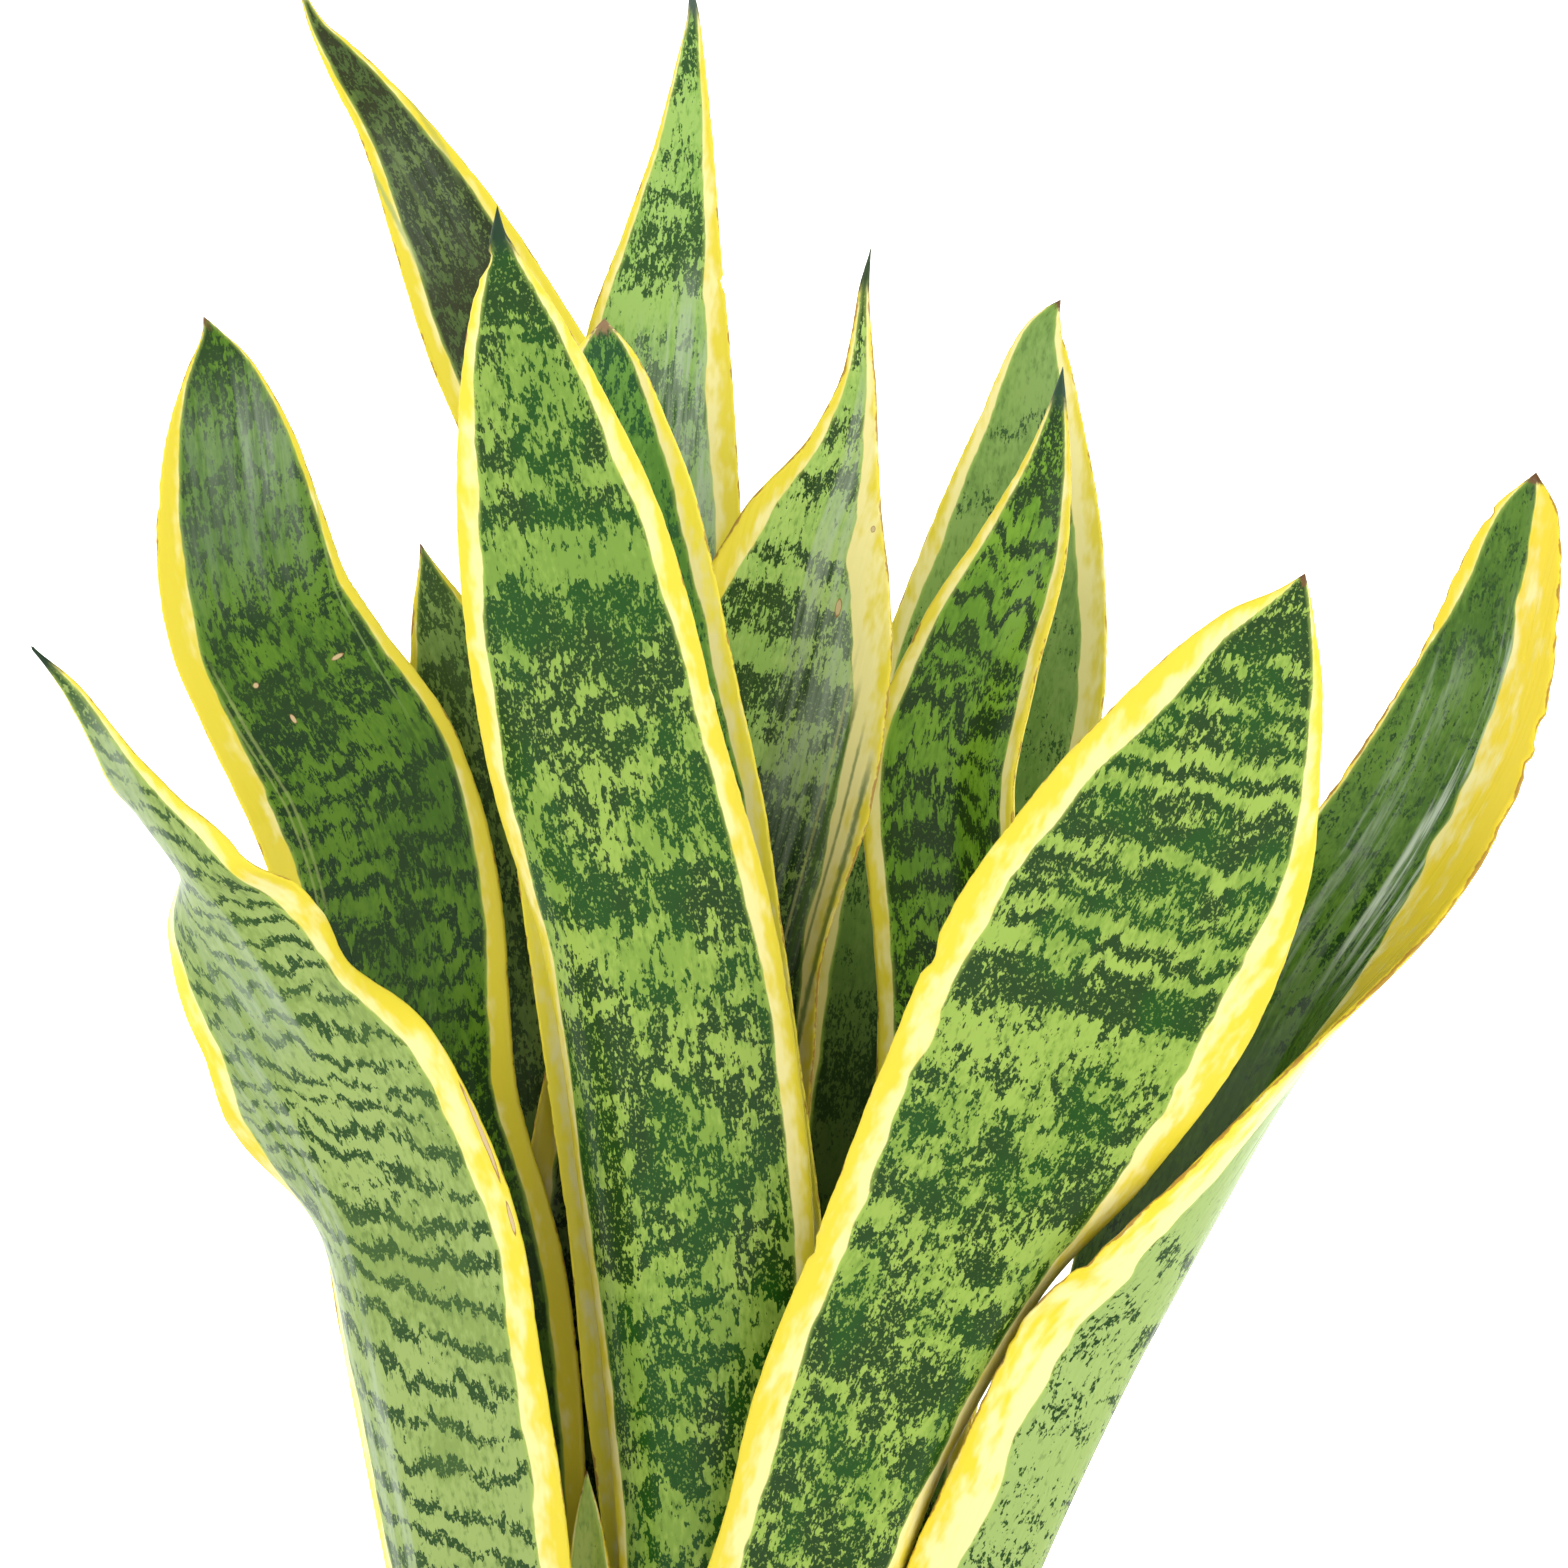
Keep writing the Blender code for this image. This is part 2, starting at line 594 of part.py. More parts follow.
def rhizome_mesh(name, swell):
    """The branching stem as one closed mesh: a round rod for each branch, joined by Boolean unions.

    Each younger branch is a little thinner than the one it grew from, with its back at nearly
    the same height, so that every leaf foot rests just above the stem.
    """
    rods = []
    for age, branch in enumerate(RHIZOME_BRANCHES):
        radius = RHIZOME_RADIUS * (1.0 - BRANCH_THINNING * age)
        crest = RHIZOME_CREST - BRANCH_DROP * age
        curve = bpy.data.curves.new(name, "CURVE")
        curve.dimensions = "3D"
        curve.bevel_depth = radius + swell
        curve.bevel_resolution = 2
        curve.use_fill_caps = True
        spline = curve.splines.new("POLY")
        spline.points.add(len(branch) - 1)
        for point, (x, y) in zip(spline.points, branch):
            point.co = (x * MM, y * MM, crest - radius, 1.0)
        rod = bpy.data.objects.new(name, curve)
        bpy.context.scene.collection.objects.link(rod)
        bpy.context.view_layer.update()
        mesh = bpy.data.meshes.new_from_object(rod.evaluated_get(bpy.context.evaluated_depsgraph_get()))
        welded = bmesh.new()
        welded.from_mesh(mesh)
        bmesh.ops.remove_doubles(welded, verts=welded.verts, dist=WELD_DISTANCE)
        bmesh.ops.recalc_face_normals(welded, faces=welded.faces)
        welded.to_mesh(mesh)
        welded.free()
        bpy.data.objects.remove(rod)
        solid = bpy.data.objects.new(name, mesh)
        bpy.context.scene.collection.objects.link(solid)
        rods.append(solid)
    first = rods[0]
    for other in rods[1:]:
        union = first.modifiers.new("Join", "BOOLEAN")
        union.operation = "UNION"
        union.solver = "EXACT"
        union.object = other
    bpy.context.view_layer.update()
    joined = bpy.data.meshes.new_from_object(first.evaluated_get(bpy.context.evaluated_depsgraph_get()))
    joined.name = name
    for rod in rods:
        bpy.data.objects.remove(rod)
    return joined


def build():
    for leftover in list(bpy.data.objects):
        bpy.data.objects.remove(leftover)
    plant = bpy.data.collections.new("potted_laurentii_snake_plant")
    cutters = bpy.data.collections.new("cutters")
    for collection in (plant, cutters):
        bpy.context.scene.collection.children.link(collection)

    clay = material("terracotta clay", (0.58, 0.26, 0.14), 0.9)
    earth = material("potting soil", (0.035, 0.022, 0.014), 1.0)
    stem = material("rhizome skin", (0.62, 0.43, 0.22), 0.6)
    blade_green = material("leaf green", (0.08, 0.24, 0.05), 0.35)
    margin_yellow = material("leaf margin yellow", (0.85, 0.72, 0.10), 0.38)
    young_green = material("young leaf green", (0.35, 0.50, 0.10), 0.4)

    slots = []
    for name, leaf in LEAVES.items():
        green = young_green if name == "leaf_young" else blade_green
        make_leaf(name, leaf, plant, (green, margin_yellow))
        slots.append(slot_cutter(name, leaf, cutters))

    rhizome = rhizome_mesh("rhizome", 0.0)
    rhizome.shade_smooth()
    add_object("rhizome", rhizome, plant, (stem,))
    hollow = rhizome_mesh("cut_rhizome", CLEARANCE)
    slots.append(mark_cutter(add_object("cut_rhizome", hollow, cutters)))

    make_soil(plant, earth, slots)
    make_pot(plant, cutters, clay)


build()
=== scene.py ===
"""A potted laurentii snake plant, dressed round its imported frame. Metres, +Z up."""

import math

import bmesh
import bpy
import numpy as np
from mathutils import Euler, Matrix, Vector, noise


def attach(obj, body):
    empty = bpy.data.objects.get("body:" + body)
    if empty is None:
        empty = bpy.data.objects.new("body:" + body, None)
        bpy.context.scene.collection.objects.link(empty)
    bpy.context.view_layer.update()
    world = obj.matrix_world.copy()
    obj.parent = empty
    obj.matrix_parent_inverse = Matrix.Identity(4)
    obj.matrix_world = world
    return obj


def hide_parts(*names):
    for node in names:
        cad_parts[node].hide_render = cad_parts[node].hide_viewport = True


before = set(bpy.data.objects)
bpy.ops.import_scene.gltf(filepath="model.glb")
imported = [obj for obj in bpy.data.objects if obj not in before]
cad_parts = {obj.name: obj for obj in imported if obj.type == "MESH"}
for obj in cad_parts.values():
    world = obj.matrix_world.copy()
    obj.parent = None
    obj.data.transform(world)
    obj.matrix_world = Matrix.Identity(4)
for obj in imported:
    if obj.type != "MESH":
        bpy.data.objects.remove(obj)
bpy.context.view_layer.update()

# The camera stands where the photograph was taken from, a little above the leaves' middle
# and looking slightly down, with a long portrait lens. It is one metre and a tenth away.
camera_data = bpy.data.cameras.new("portrait_camera")
camera_data.sensor_width = 36.0
camera_data.lens = 117.5
camera = bpy.data.objects.new("portrait_camera", camera_data)
camera.location = (0.0181, -1.0958, 0.4566)
camera.rotation_euler = (math.radians(85.0), 0.0, 0.0)
bpy.context.scene.collection.objects.link(camera)
bpy.context.scene.camera = camera

# The pot is fired red clay, thrown or pressed in a mould: a tapered body with a thicker
# band round its mouth and four drainage holes. Water leaves pale lime bloom on its skin.
mm = 0.001
pot_height = 0.125
pot_foot_radius = 0.052
pot_band_height = 0.026
pot_mouth_height = pot_height - pot_band_height
pot_body_top_radius = 0.0705
pot_band_step = 0.004
pot_band_flare = 0.001
pot_wall = 0.005
pot_floor = 0.007
pot_edge = 0.0015
pot_sides = 144
drain_radius = 0.004
drain_ring_radius = 0.026


def pot_radius(height):
    """The outer radius of the tapered body at a height."""
    return pot_foot_radius + (pot_body_top_radius - pot_foot_radius) * height / pot_mouth_height


def put_in_scene(name, mesh, finish):
    """Places a finished mesh as a piece of the plant that stands still with its pot."""
    piece = bpy.data.objects.new(name, mesh)
    bpy.context.scene.collection.objects.link(piece)
    mesh.materials.append(finish)
    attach(piece, "root")
    return piece


def round_edge(r, z, radius, start, end, points):
    """Points on an arc about a centre, from one angle to another in degrees."""
    turns = np.radians(np.linspace(start, end, points))
    return [(r + radius * math.cos(turn), z + radius * math.sin(turn)) for turn in turns]


def straight_wall(first, last, steps):
    """Points between two ends, without the ends."""
    return [tuple(point) for point in np.linspace(first, last, steps + 1)[1:-1]]


def thrown_outline():
    """The pot's section from the middle of its floor, up inside, over the lip and down outside."""
    edge = pot_edge
    inner_foot = pot_radius(pot_floor) - pot_wall
    inner_top = pot_radius(pot_height) - pot_wall
    band = pot_radius(pot_mouth_height) + pot_band_step
    rim = band + pot_band_flare
    body_top = pot_radius(pot_mouth_height)
    outline = [(r, pot_floor) for r in (0.0008, 0.018, 0.034, inner_foot - 2 * edge)]
    outline += round_edge(inner_foot - 2 * edge, pot_floor + 2 * edge, 2 * edge, -90, 0, 5)[1:]
    outline += straight_wall((inner_foot, pot_floor + 2 * edge), (inner_top, pot_height - edge), 41)
    outline += round_edge(inner_top + edge, pot_height - edge, edge, 180, 90, 6)
    outline += round_edge(rim - edge, pot_height - edge, edge, 90, 0, 6)
    outline += straight_wall((rim, pot_height - edge), (band, pot_mouth_height + edge), 12)
    outline += round_edge(band - edge, pot_mouth_height + edge, edge, 0, -90, 6)
    outline += [(body_top + 0.4 * mm, pot_mouth_height + 0.1 * mm), (body_top, pot_mouth_height - 0.6 * mm)]
    outline += straight_wall((body_top, pot_mouth_height), (pot_radius(edge), edge), 48)
    outline += round_edge(pot_foot_radius - edge, edge, edge, 0, -90, 5)
    outline += [(r, 0.0) for r in (0.046, 0.034, 0.018, 0.0008)]
    return outline


def join_rings(shape, rings):
    """Faces between each ring of points and the next."""
    for low, high in zip(rings, rings[1:]):
        for side, corner in enumerate(low):
            after = (side + 1) % len(low)
            shape.faces.new((corner, low[after], high[after], high[side]))


def finished_mesh(shape, name):
    """The shape as a mesh, with its faces turned outward and smooth."""
    bmesh.ops.recalc_face_normals(shape, faces=shape.faces)
    mesh = bpy.data.meshes.new(name)
    shape.to_mesh(mesh)
    shape.free()
    mesh.shade_smooth()
    return mesh


def throw_pot():
    """The turned clay body, with faint finger rings that never change its outline by more than a hair."""
    clay = bmesh.new()
    rings = []
    for r, z in thrown_outline():
        ring = []
        for side in range(pot_sides):
            angle = 2 * math.pi * side / pot_sides
            wobble = noise.noise(Vector((math.cos(angle) * 1.4, math.sin(angle) * 1.4, z * 900)))
            finger = 0.06 * mm * wobble + 0.05 * mm * math.sin(z * 2100 + angle)
            held = 0.0 if z < pot_edge or r < 0.01 else finger
            ring.append(clay.verts.new(((r - held) * math.cos(angle), (r - held) * math.sin(angle), z)))
        rings.append(ring)
    join_rings(clay, rings)
    clay.faces.new(rings[0][::-1])
    clay.faces.new(rings[-1])
    return finished_mesh(clay, "clay_pot")


class Reading:
    """A number or a place that the finish reads off at each point of a surface, to reckon with."""

    def __init__(self, tree, socket):
        self.tree = tree
        self.socket = socket

    def reckon(self, kind, *numbers):
        """One sum on readings or plain numbers."""
        made = add_node(self.tree, "ShaderNodeMath", dict(enumerate(numbers)), operation=kind)
        return Reading(self.tree, made.outputs[0])

    def __add__(self, other):
        return self.reckon("ADD", self, other)

    def __sub__(self, other):
        return self.reckon("SUBTRACT", self, other)

    def __rsub__(self, other):
        return self.reckon("SUBTRACT", other, self)

    def __mul__(self, other):
        return self.reckon("MULTIPLY", self, other)

    def __truediv__(self, other):
        return self.reckon("DIVIDE", self, other)

    def scaled(self, by, plus):
        """The reading multiplied, with something added."""
        return self.reckon("MULTIPLY_ADD", self, by, plus)


def add_node(tree, kind, inputs, **settings):
    """Adds a shader node; each input is a plain value or a reading."""
    made = tree.nodes.new(kind)
    for key, value in settings.items():
        setattr(made, key, value)
    for key, value in inputs.items():
        if isinstance(value, Reading):
            tree.links.new(value.socket, made.inputs[key])
        else:
            made.inputs[key].default_value = value
    return made


def parts_of(place):
    """The three numbers that make up a place."""
    split = add_node(place.tree, "ShaderNodeSeparateXYZ", {0: place})
    return [Reading(place.tree, number) for number in split.outputs]


def grain(place, size, offset=(0.0, 0.0, 0.0), detail=3.0, roughness=0.55):
    """Cloudy natural variation, about a half. Size is how many grains lie in a unit of each length."""
    tree = place.tree
    spot = add_node(tree, "ShaderNodeMapping", {"Vector": place, "Scale": size, "Location": offset})
    look = {"Vector": Reading(tree, spot.outputs[0]), "Scale": 1.0, "Detail": detail, "Roughness": roughness}
    return Reading(tree, add_node(tree, "ShaderNodeTexNoise", look).outputs["Fac"])


def rise(value, low, high):
    """Zero below low and one above high, with a soft step between."""
    limits = {"Value": value, "From Min": low, "From Max": high, "To Min": 0.0, "To Max": 1.0}
    made = add_node(value.tree, "ShaderNodeMapRange", limits, interpolation_type="SMOOTHSTEP")
    return Reading(value.tree, made.outputs[0])


def tint(share, first, second):
    """One colour painted over another by a share from nought to one."""
    made = add_node(share.tree, "ShaderNodeMix", {0: share, 6: first, 7: second}, data_type="RGBA")
    return Reading(share.tree, made.outputs[2])


def paint(red, green, blue):
    """A paint-chart colour, 0 to 255, as the light it reflects."""
    shares = [v / 255 for v in (red, green, blue)]
    return tuple(v / 12.92 if v <= 0.04045 else ((v + 0.055) / 1.055) ** 2.4 for v in shares) + (1.0,)


def new_finish(name):
    """An empty finish, its shader, and the place of each point on the piece."""
    finish = bpy.data.materials.new(name)
    finish.use_nodes = True
    tree = finish.node_tree
    place = Reading(tree, tree.nodes.new("ShaderNodeTexCoord").outputs["Object"])
    return finish, tree.nodes["Principled BSDF"], place


def lay_on(shader, colour, roughness, relief, strength, depth, shine):
    """Gives a finish its colour, its roughness, a fine relief and its shine."""
    tree = colour.tree
    tree.links.new(colour.socket, shader.inputs["Base Color"])
    tree.links.new(roughness.socket, shader.inputs["Roughness"])
    bump = add_node(tree, "ShaderNodeBump", {"Strength": strength, "Distance": depth, "Height": relief})
    tree.links.new(bump.outputs[0], shader.inputs["Normal"])
    shader.inputs["Specular IOR Level"].default_value = shine


def clay_finish():
    """Fired clay: cloudy, gritty, ringed by the throwing, and pale with lime towards its foot."""
    finish, shader, place = new_finish("fired_clay")
    cloud = grain(place, (28.0, 28.0, 40.0), detail=4.0)
    grit = grain(place, (900.0, 900.0, 900.0))
    rings = grain(place, (12.0, 12.0, 700.0))
    body = tint(rise(cloud, 0.35, 0.65), paint(170, 98, 68), paint(192, 122, 88))
    body = tint(rise(rings, 0.5, 0.75) * 0.35, body, paint(160, 88, 60))
    body = tint(rise(grit, 0.58, 0.7) * 0.4, body, paint(214, 160, 128))
    body = tint(rise(grit, 0.42, 0.34) * 0.35, body, paint(132, 70, 50))
    height = parts_of(place)[2]
    patch = grain(place, (55.0, 55.0, 75.0), (4.0, 1.0, 7.0), 5.0, 0.62)
    damp = rise(height + patch * 0.05, 0.066, 0.038)
    lime = rise(patch, 0.46, 0.74) * 0.5
    lime = lime.reckon("MAXIMUM", lime, damp * rise(patch, 0.36, 0.66)) * 0.42
    body = tint(lime, body, paint(222, 204, 186))
    lay_on(shader, body, grit.scaled(0.16, 0.78), rings * 0.5 + grit * 0.35, 0.5, 0.3 * mm, 0.25)
    return finish


clay_pot = put_in_scene("clay_pot", throw_pot(), clay_finish())
for corner in range(4):
    angle = math.pi / 2 * (corner + 0.5)
    spot = (drain_ring_radius * math.cos(angle), drain_ring_radius * math.sin(angle), pot_floor / 2)
    bpy.ops.mesh.primitive_cylinder_add(vertices=40, radius=drain_radius, depth=3 * pot_floor, location=spot)
    drill = bpy.context.object
    hole = clay_pot.modifiers.new("drain", "BOOLEAN")
    hole.object = drill
    hole.solver = "EXACT"
    bpy.context.view_layer.objects.active = clay_pot
    bpy.ops.object.modifier_apply(modifier=hole.name)
    bpy.data.objects.remove(drill)
clay_pot.data.shade_smooth()
bpy.context.view_layer.objects.active = clay_pot
clay_pot.data.set_sharp_from_angle(angle=math.radians(50))
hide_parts("pot")

# The rhizome is the plant's creeping stem: a thick, ringed, straw-coloured root stock that
# runs just under the soil, forks, and pushes up one leaf after another from its back.
rhizome_skin, shader, place = new_finish("rhizome_skin")
cloud = grain(place, (60.0, 60.0, 60.0), detail=4.0)
wave = {"Vector": place, "Scale": 45.0, "Distortion": 2.5, "Detail": 3.0}
scales = Reading(place.tree, add_node(place.tree, "ShaderNodeTexWave", wave).outputs["Fac"])
straw = tint(rise(cloud, 0.35, 0.65), paint(214, 178, 116), paint(232, 206, 156))
skin = tint(rise(scales, 0.25, 0.02), straw, paint(134, 92, 50))
lay_on(shader, skin, cloud.scaled(0.3, 0.45), scales, 0.6, 0.5 * mm, 0.5)
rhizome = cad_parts["rhizome"]
for held in rhizome.material_slots:
    held.material = rhizome_skin

# The tall front leaf is a thick, waxy blade that grew straight from the rhizome, rolled
# into a channel. It turns its outer face to the front: light green, heavily mottled.
row_step = 1.6 * mm
tip_crowding = 1.15
last_row_gap = 0.6 * mm
bend_steps = 48
margin_thickness = 1.2 * mm
midrib_thickness = 3.2 * mm
foot_swelling = 1.4 * mm
tip_thinning = 1.6 * mm
tip_reach = 0.09
point_thickness = 0.85 * mm
sway_height = 0.9 * mm
sway_length = 0.095
sway_reach = 7.5 * mm
free_height = 0.118
foot_reach = 0.13


def flowing(knots, values, at):
    """Values read along a smooth line through the knots that never swings past them."""
    gaps = np.diff(knots)[:, None]
    steps = np.diff(values, axis=0) / gaps
    before, after = steps[:-1], steps[1:]
    same_way = before * after > 0
    early = 2 * gaps[1:] + gaps[:-1]
    late = gaps[1:] + 2 * gaps[:-1]
    blended = (early + late) / (early / np.where(same_way, before, 1.0) + late / np.where(same_way, after, 1.0))
    slopes = np.vstack([steps[:1], np.where(same_way, blended, 0.0), steps[-1:]])
    index = np.clip(np.searchsorted(knots, at, side="right") - 1, 0, len(knots) - 2)
    gap = gaps[index]
    t = (np.asarray(at)[:, None] - knots[index][:, None]) / gap
    return (
        values[index] * (1 + 2 * t) * (1 - t) ** 2
        + slopes[index] * gap * t * (1 - t) ** 2
        + values[index + 1] * t**2 * (3 - 2 * t)
        + slopes[index + 1] * gap * t**2 * (t - 1)
    )


def roll_of_side(distances, half, slope, crease):
    """How far out and forward points lie at these distances from the midrib, and the blade's lean there."""
    share = (np.arange(bend_steps) + 0.5) / bend_steps
    lean = slope * share**crease
    step = half / bend_steps
    out = np.concatenate([[0.0], np.cumsum(np.cos(lean)) * step])
    forward = np.concatenate([[0.0], np.cumsum(np.sin(lean)) * step])
    marks = np.linspace(0.0, half, bend_steps + 1)
    leans = slope * np.clip(distances / half, 0.0, 1.0) ** crease
    return np.interp(distances, marks, out), np.interp(distances, marks, forward), leans


def thickness_at(distance, length, across):
    """Thick at the foot and the midrib, thin at the rims and the tip."""
    foot = max(0.0, 1.0 - distance / foot_reach)
    tip = max(0.0, 1.0 - (length - distance) / tip_reach)
    middle = midrib_thickness + foot_swelling * foot - tip_thinning * tip
    return margin_thickness + (middle - margin_thickness) * (1.0 - across**2)


def grow_blade(name, stations, crease=1.0, phase=0.0, seed=0, bites=(), raggedness=0.25):
    """One closed blade along its stations: x, y, z, width, the way its inner face looks, and rim slopes.

    Lengths are in millimetres and angles in degrees. A bite is a small notch in a margin: the side
    (-1 left, 1 right), its place in millimetres up the blade, its depth and its length.
    """
    table = np.array(stations, float)
    table[:, :4] *= mm
    table[:, 4:] = np.radians(table[:, 4:])
    knots = np.concatenate([[0.0], np.cumsum(np.linalg.norm(np.diff(table[:, :3], axis=0), axis=1))])
    length = knots[-1]
    rows = int(length / row_step)
    places = np.linspace(0.0, 1.0, rows)
    places = length * (1 - (1 - places) ** tip_crowding)
    places = places[places < length - last_row_gap]
    near = 0.5 * mm
    ahead = flowing(knots, table, np.minimum(places + near, length))
    behind = flowing(knots, table, np.maximum(places - near, 0.0))
    shares = np.concatenate([np.linspace(0, 0.66, 11), np.linspace(0.7, 1.0, 9)])
    turns = (math.pi / 8, math.pi / 4, 3 * math.pi / 8)
    points, blade_marks, rim_marks = [], [], []
    for place, row, high, low in zip(places, flowing(knots, table, places), ahead, behind):
        centre = row[:3]
        width, turn, left_slope, right_slope = row[3:]
        half = width / 2
        along = high[:3] - low[:3]
        along /= np.linalg.norm(along)
        facing = np.array((math.sin(turn), -math.cos(turn), 0.0))
        facing = facing - along * facing.dot(along)
        facing /= np.linalg.norm(facing)
        sideways = np.cross(along, facing)
        sway = math.sin(2 * math.pi * place / sway_length + phase * math.pi)
        free = min(1.0, max(0.0, centre[2] - free_height) / foot_reach)
        narrow = min(1.0, half / sway_reach / 2)
        faces = {}
        for side, slope in ((-1, left_slope), (1, right_slope)):
            spot = Vector((place * 160, side * 9.0 + seed, 0.5))
            rough = noise.noise(spot) + 0.7 * noise.noise(spot * 4.3) + 0.5 * max(0.0, noise.noise(spot * 11.0))
            trim = raggedness * mm * abs(rough) * free * min(1.0, half / (4 * mm))
            for bite_side, bite_place, bite_depth, bite_length in bites:
                if bite_side == side:
                    off = abs(place - bite_place * mm) / (bite_length * mm / 2)
                    torn = 1 + 0.35 * noise.noise(Vector((place * 1900, seed, bite_place)))
                    trim += bite_depth * mm * torn * max(0.0, 1 - off**2) ** 0.6
            edge_thickness = thickness_at(place, length, 1.0)
            edge_thickness = min(edge_thickness, point_thickness + half * 0.6)
            reach = max(half * 0.3, half - trim)
            round_radius = min(edge_thickness / 2, reach * 0.45)
            body = reach - round_radius
            distances = shares * body
            across = distances / half
            out, forward, lean = roll_of_side(distances, half, slope, crease)
            ripple = side * sway * sway_height * across**3 * narrow * free
            for index, share in enumerate(shares):
                thick = min(thickness_at(place, length, across[index]), edge_thickness * 2 + half * 0.5)
                thick = max(thick, edge_thickness)
                base = centre + sideways * (side * out[index]) + facing * (forward[index] + ripple[index])
                normal = facing * math.cos(lean[index]) - sideways * (side * math.sin(lean[index]))
                mark = (side * distances[index] / mm, place / mm)
                rim = ((half - distances[index]) / mm, (length - place) / mm, half / mm)
                faces[(side, index, 0)] = (base + normal * thick / 2, mark + (0.0,), rim)
                faces[(side, index, 1)] = (base - normal * thick / 2, mark + (1.0,), rim)
            last = len(shares) - 1
            outward = sideways * (side * math.cos(lean[last])) + facing * math.sin(lean[last])
            edge = []
            for turn_share in turns:
                inset = (half - distances[last]) / mm * (1 - math.sin(turn_share))
                rim = (inset, (length - place) / mm, half / mm)
                for sign, face in ((1, 0.0), (-1, 1.0)):
                    shift = outward * round_radius * math.sin(turn_share)
                    lift = normal * sign * round_radius * math.cos(turn_share)
                    edge.append((base + shift + lift, (side * half / mm, place / mm, face), rim))
            crest_rim = (0.0, (length - place) / mm, half / mm)
            crest = (base + outward * round_radius, (side * half / mm, place / mm, 0.5), crest_rim)
            faces[(side, "edge")] = [edge[0], edge[2], edge[4], crest, edge[5], edge[3], edge[1]]
        last = len(shares) - 1
        ring = [faces[(-1, index, 0)] for index in range(last, 0, -1)]
        ring += [faces[(1, index, 0)] for index in range(0, last + 1)]
        ring += faces[(1, "edge")]
        ring += [faces[(1, index, 1)] for index in range(last, 0, -1)]
        ring += [faces[(-1, index, 1)] for index in range(0, last + 1)]
        ring += faces[(-1, "edge")][::-1]
        for spot, blade_mark, rim_mark in ring:
            points.append(spot)
            blade_marks.append(blade_mark)
            rim_marks.append(rim_mark)
    around = len(ring)
    count = len(places)
    first = len(points)
    points.append(np.mean(points[:around], axis=0))
    blade_marks.append((0.0, 0.0, 0.5))
    rim_marks.append((table[0, 3] / 2 / mm, length / mm, table[0, 3] / 2 / mm))
    points.append(table[-1, :3])
    blade_marks.append((0.0, length / mm, 0.5))
    rim_marks.append((0.0, 0.0, 0.0))
    polygons = []
    for row in range(count - 1):
        for column in range(around):
            after = (column + 1) % around
            a, b = row * around + column, row * around + after
            polygons.append((a, b, b + around, a + around))
    for column in range(around):
        after = (column + 1) % around
        polygons.append((first, after, column))
        top = (count - 1) * around
        polygons.append((top + column, top + after, first + 1))
    mesh = bpy.data.meshes.new(name)
    mesh.from_pydata([tuple(p) for p in points], [], polygons)
    for mark, values in (("blade", blade_marks), ("rim", rim_marks)):
        layer = mesh.attributes.new(mark, "FLOAT_VECTOR", "POINT")
        layer.data.foreach_set("vector", np.array(values).ravel())
    mesh.shade_smooth()
    return mesh, length / mm


# The grey of painted sheen, and the deep green and dark yellow of painted shade.
painted_sheen_grey = paint(186, 200, 178)
painted_shade_green = paint(26, 38, 10)
painted_shade_yellow = paint(150, 128, 24)
lip_green = paint(170, 196, 84)
tip_green = paint(72, 122, 46)
scar_rim = paint(158, 116, 70)
scar_cork = paint(208, 184, 138)
dry_brown = paint(150, 92, 48)


def between(value, start, end, soft):
    """One from start to end and nought outside, with soft steps."""
    return rise(value, start - soft, start + soft) * rise(value, end + soft, end - soft)


